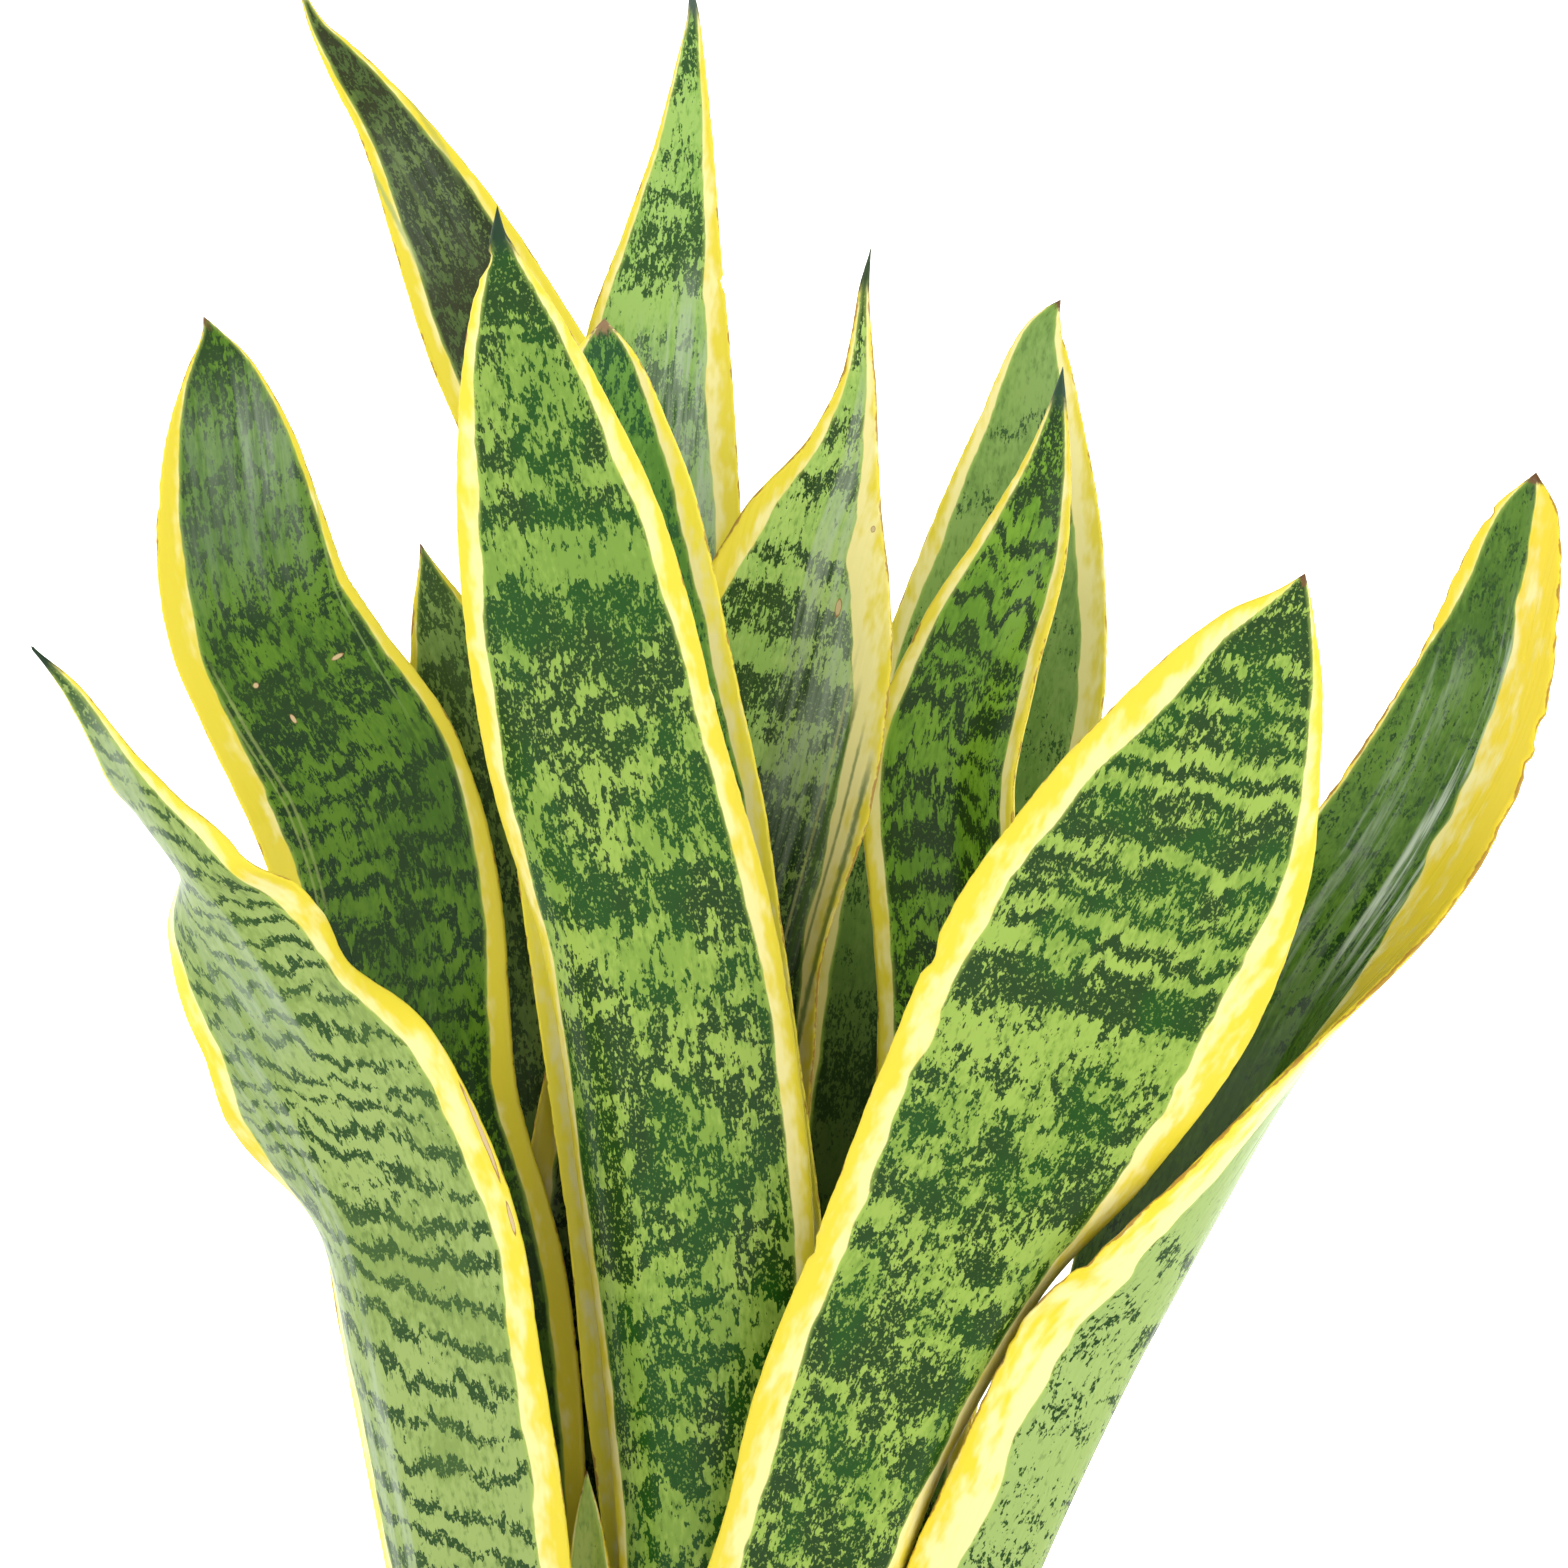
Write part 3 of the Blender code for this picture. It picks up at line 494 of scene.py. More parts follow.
def blade_finish(
    name,
    length,
    seed,
    bands,
    light=(paint(152, 180, 78), paint(128, 160, 62)),
    dark=(paint(30, 62, 16), paint(26, 74, 14)),
    slant=(0.0, 0.0),
    jag=3.0,
    zigzag=1.6,
    wander=4.0,
    beat=0.3,
    bars=(),
    mottle=1.0,
    speckle=0.44,
    dots=0.7,
    green_tip=0.0,
    margins=(4.0, 6.0),
    taper=(1.0, 1.0),
    widen=(200.0, 260.0, 1.0),
    bare=None,
    cream=(0.4, 0.4),
    outer_cream=0.0,
    foot_shade=(150.0, 0.0),
    gold=paint(233, 214, 62),
    pale=paint(246, 234, 158),
    dry_edge=0.26,
    dry_tip=3.0,
    tip=paint(110, 78, 44),
    stripes=(),
    blooms=(),
    scars=(),
    gloss=0.32,
    back_light=None,
):
    """The waxy skin of one blade, drawn in its own millimetres: across, along and in from the rim.

    Pairs are for the left and the right half of the blade, seen on its inner face.
    Bands: (up the blade, darkness from 0 to 1). Slant: how far bands climb across, at the foot and higher up.
    Jag, zigzag and wander: how far streaks, waves and slow drift move them. Bars are thin even bands between:
    (spacing, strength, from, to). Beat, mottle, speckle and dots: how strongly slow swells, blotches, flecks
    and pin dots break them up. Margins: widths, each narrowed over its taper below the tip. Widen: (from, to,
    times) for the right margin. Bare: (side, from, to), where a margin is all but gone. Cream: how pale the
    margins are, and outer cream what the outer face adds to that. Painted foot shade: (height, strength) of
    the shade painted low down on the inner face where the leaves shade each other, half as strong on the
    margins. Dry edge and dry tip: how far the rim and the tip have dried. Stripes: (across, half width, from,
    to, strength, colour). Painted sheens, grey veils painted where light glances off the wax: (from and to
    across, from and to along, strength, how torn). Scars, healed nicks: (across, along, half length, half
    height). Back light: the light green of the outer face, where it differs.
    """
    finish, shader, place = new_finish(name)
    tree = place.tree
    marks = [add_node(tree, "ShaderNodeAttribute", {}, attribute_name=mark) for mark in ("blade", "rim")]
    across, along, face = parts_of(Reading(tree, marks[0].outputs["Vector"]))
    inset, to_tip, half = parts_of(Reading(tree, marks[1].outputs["Vector"]))
    outer = rise(face, 0.4, 0.6)
    on_right = rise(across, -2.0, 2.0)
    layers = {0: across, 1: along, 2: outer.scaled(31.0, seed * 7.3)}
    here = Reading(tree, add_node(tree, "ShaderNodeCombineXYZ", layers).outputs[0])

    # Bands wander over the width, and short streaks along the blade tear their edges.
    drift = grain(here, (0.035, 0.05, 1.0), detail=2.0)
    torn = grain(here, (0.85, 0.075, 1.0), (3.0, 1.0, 0.0), 3.5, 0.68)
    waves = grain(here, (0.21, 0.045, 1.0), (1.0, 7.0, 0.0), 1.5)
    shift = drift.scaled(wander * 4, -wander * 2) + torn.scaled(jag * 4, -jag * 2)
    shift = shift + waves.scaled(zigzag * 4, -zigzag * 2)
    lean = rise(along, 130.0, 240.0).scaled(slant[1] - slant[0], slant[0])
    share = (along + (shift + across * lean)) / length
    ramp = add_node(tree, "ShaderNodeValToRGB", {"Fac": share})
    stops = ramp.color_ramp.elements
    while len(stops) > 1:
        stops.remove(stops[-1])
    for index, (height, darkness) in enumerate(sorted(bands)):
        stop = stops[0] if index == 0 else stops.new(height / length)
        stop.position = height / length
        stop.color = (darkness, darkness, darkness, 1.0)
    band = parts_of(Reading(tree, ramp.outputs["Color"]))[0]
    for spacing, strength, start, end in bars:
        turn = share * (2 * math.pi * length / spacing)
        bar = rise(turn.reckon("SINE", turn), -0.2, 0.8) - 0.3
        band = band + bar * (between(along, start, end, 8.0) * strength)

    # Blotches, flecks and pricks of every size break the bands up, less so near the tip.
    pulse = grain(here, (0.025, 0.15, 1.0), (5.0, 3.0, 0.0), 2.0)
    clumps = grain(here, (0.17, 0.14, 1.0), (9.0, 2.0, 0.0), 3.5, 0.66)
    fleck = grain(here, (0.8, 0.26, 1.0), (2.0, 6.0, 0.0), 2.0, 0.6)
    prick = grain(here, (1.9, 0.9, 1.0), detail=1.0, roughness=0.6)
    blotch = (clumps - 0.5) * rise(to_tip, 70.0, 110.0).scaled(0.5, 0.5) + 0.5
    field = band
    for part, weight in ((pulse, beat), (blotch, mottle), (fleck, mottle * 0.7), (prick, speckle)):
        field = field + part.scaled(weight * 2, -weight)

    # Light and dark green each vary in tone, and each has dots of the other.
    tone = grain(here, (0.06, 0.035, 1.0), (1.0, 8.0, 0.0), 2.0)
    fine = grain(here, (1.1, 0.4, 1.0), (5.0, 5.0, 0.0), 2.0)
    pin = grain(here, (1.7, 1.2, 1.0), (2.0, 4.0, 0.0), 1.0)
    light_green = tint(rise(tone + fine.scaled(0.7, -0.35), 0.36, 0.64), light[0], light[1])
    if green_tip > 0:
        light_green = tint(rise(to_tip, 150.0, 70.0) * green_tip, light_green, tip_green)
    if back_light is not None:
        light_green = tint(outer, light_green, back_light)
    dark_green = tint(rise(tone, 0.4, 0.6), dark[0], dark[1])
    dark_green = tint(rise(pin, 0.58, 0.68) * dots, dark_green, light_green)
    light_green = tint(rise(fleck.scaled(0.5, fine), 0.82, 0.95) * 0.3, light_green, dark[1])
    green = tint(rise(field, 0.44, 0.56), light_green, dark_green)
    # Painted sheen: soft grey veils, torn into streaks along the blade, painted where light glances off the
    # waxy skin.
    if blooms:
        streaks = grain(here, (0.4, 0.022, 1.0), (3.0, 2.0, 0.0), 3.5, 0.7)
    for near, far, start, end, strength, torn_up in blooms:
        veil = rise(across, near - 0.6, near + 0.6) * rise(across, far + 4.0, far - 4.0)
        haze = rise(streaks, 0.25 + 0.23 * torn_up, 0.75 - 0.12 * torn_up)
        green = tint(veil * between(along, start, end, 12.0) * (haze * strength), green, painted_sheen_grey)

    # Painted shade: low down between its neighbours the inner face is painted darker, where the
    # leaves shade each other.
    low = rise(along, foot_shade[0] + 45.0, foot_shade[0] - 45.0) * foot_shade[1] * (1.0 - outer)
    green = tint(low, green, painted_shade_green)

    # The margin has no green in it: cream where it meets the blade and yellow out to its dry edge.
    width = on_right.scaled(margins[1] - margins[0], margins[0]) * drift.scaled(0.7, 0.65)
    width = width * half.reckon("MINIMUM", half / 20.0, 1.0)
    narrow = to_tip / on_right.scaled(taper[1] - taper[0], taper[0])
    width = width * half.reckon("MAXIMUM", half.reckon("MINIMUM", narrow, 1.0), 0.36)
    width = width * (rise(along, widen[0], widen[1]) * on_right).scaled(widen[2] - 1.0, 1.0)
    if bare is not None:
        side, start, end = bare
        there = rise(along, start - 12.0, start) * rise(along, end + 14.0, end - 10.0)
        width = width * (there * rise(across, 0.0, side * 2.0)).scaled(-0.85, 1.0)
    into = inset - width + torn.scaled(0.8, -0.4)
    margin = rise(into, 0.28, -0.12)
    cloud = grain(here, (0.26, 0.1, 1.0), (2.0, 9.0, 0.0), 2.5, 0.65)
    creamy = inset / width + cloud.scaled(2.8, -1.9)
    creamy = creamy + (on_right.scaled(cream[1] - cream[0], cream[0]) + outer * outer_cream)
    # Painted shade: the same darkening low down, half as strong, on the margin's yellow.
    yellow = tint(low * 0.5, tint(rise(creamy, 0.1, 1.0), gold, pale), painted_shade_yellow)
    lip = (1.0 - rise(into, 0.0, 1.1)) * (1.0 - margin)
    skin = tint(lip * 0.5, tint(margin, green, yellow), lip_green)

    for middle, reach, start, end, strength, colour in stripes:
        off = across - middle
        line = rise(off.reckon("ABSOLUTE", off) + fine * reach, reach * 1.6, reach * 0.7)
        skin = tint(line * between(along, start, end, 6.0) * strength, skin, colour)
    for middle, height, reach, lift in scars:
        x, y = (across - middle) / reach, (along - height) / lift
        gone = x * x + y * y + fleck.scaled(1.6, -0.8)
        skin = tint(rise(gone, 1.4, 1.0), skin, scar_rim)
        skin = tint(rise(gone, 1.0, 0.6), skin, scar_cork)

    # The rim and the tip are where the blade first dries to brown.
    crust = rise(clumps.scaled(2.6, -1.5 + dry_edge) - inset, 0.0, 0.3) * (rise(inset, 0.9, 0.5) * 0.75)
    skin = tint(crust, skin, dry_brown)
    skin = tint(rise(to_tip + fine.scaled(6.0, -3.0), dry_tip, dry_tip * 0.5), skin, tip)

    ribs = grain(here, (0.55, 0.012, 1.0), (8.0, 1.0, 0.0), 1.5)
    lay_on(shader, skin, ribs.scaled(0.16, gloss - 0.08) + crust * 0.3, ribs, 0.25, 0.5 * mm, 0.2)
    shader.inputs["Coat Weight"].default_value = 0.02
    shader.inputs["Coat Roughness"].default_value = 0.25
    return finish


def set_blade(
    name, seed, stations, bands, slot="leaf", crease=1.0, phase=0.0, bites=(), raggedness=0.25, **skin
):
    """Grows one blade, gives it its skin and stands it in the pot."""
    mesh, length = grow_blade(name, stations, crease, phase, seed, bites, raggedness)
    finish = blade_finish(name.replace("blade", "skin"), length, seed, bands, **skin)
    return put_in_scene(name, mesh, finish)


stations = (
    (1, -22, 86, 34, 180, 55, 60),
    (1, -22, 118, 34, 180, 55, 60),
    (2, -25, 192, 47, 182, 30, 66),
    (-0.5, -29, 242.5, 52.5, 182, 20, 71),
    (-5, -32, 286, 57, 180, 15, 73),
    (-10.8, -36, 329, 55.5, 178, 15, 65),
    (-20.1, -41, 371, 52.3, 178, 20, 38),
    (-27.4, -46, 413, 44.2, 180, 12, 20),
    (-34, -50, 444.5, 29.4, 180, 10, 12),
    (-37.6, -53, 464, 15.6, 180, 10, 10),
    (-39, -54.5, 473.5, 6, 180, 10, 10),
    (-39.7, -55, 477.5, 3, 180, 10, 10),
    (-39.8, -56, 483, 0, 180, 10, 10),
)
bands = (
    (90, 0.6), (118, 0.5), (141, 0.62), (148, 0.35), (156, 0.68), (165, 0.4), (184, 0.66), (218, 0.64),
    (230, 0.48), (236, 0.6), (244, 0.14), (249, 0.55), (253, 0.85), (262, 0.66), (281, 0.48), (292, 0.62),
    (320, 0.72), (328, 0.1), (332, 0.14), (336, 0.78), (342, 0.7), (345, 0.15), (349, 0.15), (352, 0.8),
    (355, 0.74), (358, 0.28), (363, 0.34), (366, 0.56), (369, 0.32), (372, 0.5), (378, 0.72), (391, 0.88),
)
blade = set_blade(
    "blade_front_centre", 1, stations, bands, phase=0.4, bites=((1, 391, 0.9, 5), (1, 386, 0.4, 2)),
    slant=(-0.12, -0.12), mottle=1.4, bars=((5.4, 0.3, 355, 384),), green_tip=0.25, margins=(4.6, 4.8),
    dry_tip=12.0, tip=paint(30, 58, 36),
)
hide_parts("leaf_front_centre")

# The broad front leaf grew out to the right and rolled back on itself low down. Its outer
# face is in front too, banded aslant, with small torn notches in its left margin.
stations = (
    (2, -43, 86, 36, 180, 55, 50),
    (2, -43, 118, 36, 180, 55, 50),
    (11, -44, 160, 43, 180, 60, 40),
    (26, -46, 202, 46, 180, 70, 30),
    (35.5, -48, 227.5, 52.6, 180, 82, 25),
    (50.9, -52, 260.5, 57.8, 180, 80, 20),
    (66.5, -60, 292.5, 64.8, 180, 50, 15),
    (81, -68, 324, 67.8, 180, 20, 12),
    (96, -76, 354.5, 58.6, 180, 12, 10),
    (107, -80, 380, 39.9, 180, 10, 10),
    (114.4, -83, 396, 23.3, 180, 10, 10),
    (119, -84.5, 405, 8, 180, 10, 10),
    (121, -85.5, 410, 0, 180, 10, 10),
)
bands = (
    (90, 0.6), (120, 0.68), (134, 0.5), (145, 0.66), (152, 0.4), (162, 0.6), (176, 0.66), (184, 0.4),
    (190, 0.62), (196, 0.36), (204, 0.66), (215, 0.64), (222, 0.45), (231, 0.42), (235, 0.58), (239, 0.2),
    (247, 0.2), (251, 0.78), (260, 0.74), (264, 0.4), (274, 0.38), (279, 0.66), (284, 0.46), (289, 0.78),
    (296, 0.7), (301, 0.46), (314, 0.52), (324, 0.58), (334, 0.74), (352, 0.8),
)
blade = set_blade(
    "blade_front_right", 2, stations, bands, phase=2.1,
    bites=((1, 247, 1.3, 5), (1, 250, 0.8, 2.5), (1, 178, 1.4, 3)), slant=(0.2, 0.3),
    bars=((7.4, 0.55, 262, 345), (11.6, 0.3, 262, 345)), mottle=0.85, margins=(9.8, 7.4), taper=(95.0, 1.0),
    dry_tip=2.5,
)
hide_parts("leaf_front_right")

# The far right leaf curls as it leans out: its plain dark inner face shows above, and low
# down its pale outer face. Its broad right margin is torn and dried along the edge.
stations = (
    (46, -16, 86, 38, -90, 55, 55),
    (46, -16, 118, 38, -90, 55, 55),
    (56, -22, 158, 50, -97, 60, 66),
    (71, -28, 196, 60, -102, 62, 78),
    (89, -32.5, 237, 60, -99, 60, 71),
    (99.7, -31.5, 257, 60, -86, 55, 62),
    (111, -29.5, 278, 58, -74, 48, 57),
    (130.5, -24, 315, 53, -54, 40, 45),
    (156.5, -20, 357, 42.5, -36, 42, 38),
    (168, -17, 384, 34, -30, 30, 34),
    (172.5, -15, 405, 25.5, -28, 22, 28),
    (175.5, -14, 420, 14.5, -25, 15, 20),
    (177, -13, 428, 0, -25, 10, 10),
)
bands = (
    (90, 0.38), (130, 0.36), (142, 0.28), (152, 0.38), (160, 0.3), (168, 0.4), (178, 0.34), (184, 0.14),
    (189, 0.62), (194, 0.05), (215, 0.1), (240, 0.3), (262, 0.4), (285, 0.36), (312, 0.38), (320, 0.3),
    (333, 0.44), (340, 0.3), (352, 0.38), (368, 0.3),
)
blade = set_blade(
    "blade_far_right", 3, stations, bands, crease=0.35, phase=3.0,
    bites=(
        (1, 320, 1.5, 7), (1, 313, 1.2, 4), (1, 300, 0.8, 5), (1, 341, 0.7, 4), (1, 180, 0.9, 4),
        (-1, 362, 0.8, 3),
    ),
    raggedness=0.6, light=(paint(88, 126, 40), paint(66, 104, 28)),
    dark=(paint(28, 62, 18), paint(38, 72, 22)), beat=0.15, mottle=0.8, margins=(5.0, 10.0),
    widen=(205.0, 285.0, 1.6), outer_cream=0.55, foot_shade=(245.0, 0.35), bare=(-1, 160, 336),
    cream=(0.15, 0.12), gold=paint(242, 216, 56), pale=paint(250, 238, 164), dry_edge=0.5,
    blooms=((-2.0, 18.0, 258, 342, 1.0, 0.8), (-14.0, -6.0, 250, 330, 0.4, 0.8)), gloss=0.28,
    back_light=paint(158, 184, 104),
)
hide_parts("leaf_far_right")

# The front left leaf is twisted: its outer face, pale and barred with thin zigzag bands,
# folds over its left side and draws out to a long dark awl of a tip.
stations = (
    (-40, -26, 86, 34, 170, 50, 60),
    (-40, -26, 118, 34, 170, 50, 60),
    (-45.5, -31, 160, 42, 172, 25, 58),
    (-50.5, -35, 200, 47, 173, 14, 62),
    (-56.8, -38, 236.5, 50, 172, 12, 64),
    (-63.5, -42, 268, 54, 171, 14, 76),
    (-76, -47, 299.5, 51.5, 170, 22, 33),
    (-87.5, -51, 319.5, 39.5, 163, 70, 14),
    (-97.3, -54, 337, 40, 148, 28, 32),
    (-104, -57, 349, 34, 120, 38, 52),
    (-110.7, -59, 359.5, 20, 125, 32, 34),
    (-117, -61, 370, 10, 145, 20, 15),
    (-121, -62.5, 377.5, 6.2, 158, 10, 10),
    (-126, -64, 385.5, 3.8, 165, 10, 10),
    (-133.7, -66, 394.5, 0, 165, 10, 10),
)
bands = (
    (90, 0.34), (118, 0.2), (140, 0.34), (160, 0.2), (186, 0.36), (200, 0.2), (215, 0.26), (232, 0.24),
    (262, 0.2), (300, 0.14), (308, 0.35), (313, 0.75), (332, 0.9),
)
blade = set_blade(
    "blade_front_left", 4, stations, bands, crease=0.8, phase=0.9,
    light=(paint(152, 174, 98), paint(132, 156, 80)), dark=(paint(40, 72, 30), paint(58, 88, 40)),
    slant=(-0.4, -0.85), jag=2.3, zigzag=2.8, beat=0.35, bars=((6.6, 0.66, 190, 325), (9.6, 0.62, 90, 206)),
    mottle=0.8, margins=(6.0, 5.2), dry_tip=9.0, tip=paint(34, 56, 34),
    scars=((-25.7, 201, 0.5, 9.0), (-25.6, 184, 0.4, 3.0)),
    blooms=((-3.0, 8.0, 232, 312, 0.5, 0.0), (9.0, 30.0, 100, 240, 0.5, 0.3)),
)
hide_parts("leaf_front_left")

# The left leaf shows its inner face, deep green with broken bands, a soft painted grey sheen
# near its top and a few small tan scars. Its tip has dried off.
stations = (
    (-40, -2, 86, 34, 30, 45, 45),
    (-40, -2, 118, 34, 30, 45, 45),
    (-47.5, 2, 192, 47, 22, 30, 35),
    (-55, 5, 249, 53, 16, 22, 28),
    (-63.3, 8, 293, 46.8, 14, 18, 25),
    (-68, 11, 335.5, 49.3, 14, 18, 25),
    (-75.2, 13, 359, 50.3, 14, 18, 22),
    (-88, 15, 381, 45.5, 14, 15, 20),
    (-96.5, 17, 397.5, 42, 14, 15, 20),
    (-100, 18.5, 412.5, 38.3, 14, 14, 18),
    (-102.6, 20.5, 432.5, 29.8, 14, 12, 15),
    (-104.9, 22, 450, 15, 14, 10, 12),
    (-107, 23, 458, 3.5, 14, 10, 10),
    (-108.4, 23.5, 461, 0, 14, 10, 10),
)
bands = (
    (90, 0.6), (130, 0.6), (150, 0.4), (170, 0.66), (185, 0.4), (198, 0.7), (206, 0.4), (212, 0.66),
    (219, 0.3), (225, 0.66), (232, 0.28), (241, 0.7), (247, 0.25), (255, 0.66), (262, 0.24), (270, 0.55),
    (276, 0.62), (284, 0.36), (290, 0.56), (301, 0.6), (306, 0.4), (320, 0.5), (325, 0.58),
    (330, 0.3), (337, 0.6), (342, 0.34), (348, 0.58), (353, 0.3), (361, 0.62), (367, 0.36), (376, 0.68),
)
stripes = (
    (-14.6, 0.5, 252, 312, 0.6, paint(150, 168, 92)),
    (-16.2, 0.4, 250, 306, 0.6, paint(150, 168, 92)),
    (17.5, 0.35, 286, 345, 0.5, paint(140, 172, 90)),
)
blade = set_blade(
    "blade_left", 5, stations, bands, phase=1.7, bites=((-1, 346, 0.5, 5),),
    light=(paint(90, 130, 24), paint(68, 108, 16)), dark=(paint(22, 54, 12), paint(32, 62, 12)),
    mottle=0.95, speckle=0.3, foot_shade=(190.0, 0.6), bars=((7.2, 0.34, 200, 300),), margins=(6.2, 4.8),
    taper=(40.0, 170.0), cream=(-0.1, -0.1), stripes=stripes,
    blooms=((-14.0, 14.0, 326, 368, 0.22, 0.0), (2.0, 12.0, 345, 368, 0.35, 0.0)),
    scars=((-8.0, 306, 0.6, 0.6), (11.0, 303, 1.4, 0.45), (-4.5, 296, 0.45, 1.0)), gloss=0.3,
)
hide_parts("leaf_left")

# The short leaf behind it is a younger blade of the same thick, waxy flesh, grown from the
# rhizome's side. It stands in the shade of its neighbours, so it looks very dark.
stations = (
    (-34, 24, 86, 26, 12, 40, 40),
    (-34, 24, 118, 26, 12, 40, 40),
    (-35, 23.5, 187, 35, 12, 16, 14),
    (-38, 27, 289, 40.5, 12, 14, 10),
    (-43, 28, 333, 39.5, 12, 12, 10),
    (-48.6, 28, 362, 33, 10, 12, 12),
    (-54.2, 28, 384.5, 21.5, 10, 12, 12),
    (-58.2, 28, 398.5, 11.3, 10, 10, 10),
    (-60.7, 28, 407.5, 3, 10, 10, 10),
    (-61.8, 28, 411.5, 0, 10, 10, 10),
)
bands = (
    (90, 0.6), (140, 0.4), (160, 0.7), (185, 0.35), (205, 0.65), (230, 0.4), (246, 0.62), (262, 0.4),
    (272, 0.6), (284, 0.45), (296, 0.62), (308, 0.5), (318, 0.72),
)
blade = set_blade(
    "blade_back_left_short", 6, stations, bands, phase=2.6,
    light=(paint(136, 164, 88), paint(118, 148, 76)), dark=(paint(60, 86, 48), paint(66, 90, 46)),
    margins=(3.4, 4.2), foot_shade=(235.0, 0.3), cream=(0.0, 0.0), gloss=0.3,
)
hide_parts("leaf_back_left_short")

# The tall back leaf leans left over the others: almost black-green, with one pale streak
# where the margin's colour runs into the blade, and a long yellow tip.
stations = (
    (-4, 34, 86, 34, 16, 40, 40),
    (-4, 34, 118, 34, 16, 40, 40),
    (-8, 40, 189, 47, 17, 28, 28),
    (-12.2, 46, 263.5, 54, 18, 20, 22),
    (-17.4, 53, 328.5, 55, 18, 20, 20),
    (-25.7, 60, 389, 50, 18, 20, 20),
    (-35.4, 66, 431.5, 40, 18, 22, 22),
    (-48.2, 70, 458, 34.5, 18, 24, 24),
    (-59.4, 73, 481.5, 26.5, 18, 24, 24),
    (-71.2, 76, 503.5, 16, 16, 20, 20),
    (-82.3, 78.5, 519, 9, 14, 15, 15),
    (-89, 80, 528.5, 3.3, 12, 10, 10),
    (-93.4, 81.5, 540, 0, 12, 10, 10),
)
bands = (
    (90, 0.6), (130, 0.4), (160, 0.66), (190, 0.4), (215, 0.68), (245, 0.4), (270, 0.66), (300, 0.45),
    (325, 0.7), (350, 0.5), (366, 0.66), (376, 0.55), (392, 0.6), (400, 0.52), (412, 0.72), (424, 0.55),
    (436, 0.62), (446, 0.5), (456, 0.72), (470, 0.5),
)
stripes = (
    (-10.0, 0.9, 398, 440, 0.7, paint(158, 176, 110)),
    (-3.0, 0.7, 405, 430, 0.4, paint(110, 130, 70)),
    (8.0, 1.2, 412, 448, 0.35, paint(120, 140, 84)),
)
blade = set_blade(
    "blade_back_left_tall", 7, stations, bands, phase=0.2, light=(paint(92, 114, 52), paint(70, 92, 42)),
    dark=(paint(36, 48, 18), paint(46, 52, 24)), margins=(5.0, 4.6), dry_tip=9.0, tip=paint(206, 200, 130),
    stripes=stripes, blooms=((-16.0, 6.0, 396, 430, 0.12, 0.3),), cream=(0.1, 0.1),
    scars=((4.0, 372, 1.2, 0.8), (7.0, 366, 0.8, 0.6), (8.0, 358, 1.0, 0.8)),
)
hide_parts("leaf_back_left_tall")

# The back middle leaf stands nearly straight, with a narrow left margin, a broad right one
# that cracked and healed brown at one place, and a slate-coloured tip.
stations = (
    (0, 48, 86, 34, -6, 45, 45),
    (0, 48, 118, 34, -6, 45, 45),
    (-8, 54, 184.5, 44, -6, 28, 28),
    (-13.3, 61, 262, 51.5, -5, 20, 20),
    (-14.4, 68, 329, 52.7, -4, 18, 18),
    (-14.6, 75, 385.5, 50.5, -4, 16, 18),
    (-12.8, 80, 424, 43, -4, 18, 20),
    (-10.6, 84, 455, 34, -4, 18, 20),
    (-7.6, 88, 478.5, 23.2, -4, 16, 20),
    (-4.7, 91, 501.5, 13.5, -4, 14, 16),
    (-3.3, 94, 520.5, 6.5, -4, 10, 12),
    (-2.8, 95.5, 530, 3, -4, 10, 10),
    (-3.9, 97, 540, 0, -4, 10, 10),
)
bands = (
    (90, 0.6), (130, 0.4), (160, 0.66), (190, 0.4), (215, 0.68), (245, 0.4), (270, 0.66), (300, 0.35),
    (320, 0.62), (336, 0.3), (346, 0.56), (358, 0.62), (366, 0.5), (374, 0.2), (380, 0.2), (386, 0.62),
    (398, 0.66), (402, 0.3), (408, 0.56), (413, 0.3), (425, 0.4), (438, 0.5), (450, 0.6),
)
stripes = ((-12.5, 0.8, 392, 424, 0.7, paint(196, 208, 140)),)
blade = set_blade(
    "blade_back_centre", 8, stations, bands, phase=1.2, bites=((1, 388, 0.8, 2), (1, 386, 0.5, 1.5)),
    light=(paint(156, 192, 98), paint(132, 174, 78)), dark=(paint(44, 80, 32), paint(54, 92, 36)),
    margins=(3.0, 6.4), dry_tip=14.0, tip=paint(70, 88, 74), stripes=stripes,
    blooms=((2.0, 20.0, 318, 384, 0.8, 0.35), (-8.0, 8.0, 340, 372, 0.35, 0.2)), cream=(0.2, 0.4),
    scars=((22.4, 388, 2.2, 0.7), (24.0, 391, 0.7, 0.5)),
)
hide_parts("leaf_back_centre")

# The leaf right behind the front one shows little more than its margins and its top. Its
# tip broke and healed over, brown and cream.
stations = (
    (4, 2, 86, 34, 0, 50, 50),
    (4, 2, 118, 34, 0, 50, 50),
    (3, 5, 192, 49, 0, 26, 26),
    (0.5, 7, 245, 56, 0, 18, 18),
    (-6, 8, 300, 56, 0, 15, 18),
    (-12, 8, 343, 56, 0, 15, 15),
    (-17, 8, 385, 49, 0, 14, 15),
    (-19.5, 8, 420, 38.5, 0, 14, 15),
    (-20.5, 8, 440, 26, 0, 12, 12),
    (-20.5, 8, 453, 13.5, 0, 10, 10),
    (-20.5, 8, 460.5, 0, 0, 10, 10),
)
bands = (
    (90, 0.6), (130, 0.4), (155, 0.66), (180, 0.4), (205, 0.66), (230, 0.4), (255, 0.66), (275, 0.35),
    (290, 0.6), (304, 0.3), (312, 0.55), (322, 0.25), (331, 0.6), (336, 0.3), (348, 0.2), (353, 0.55),
    (358, 0.3), (368, 0.52),
)
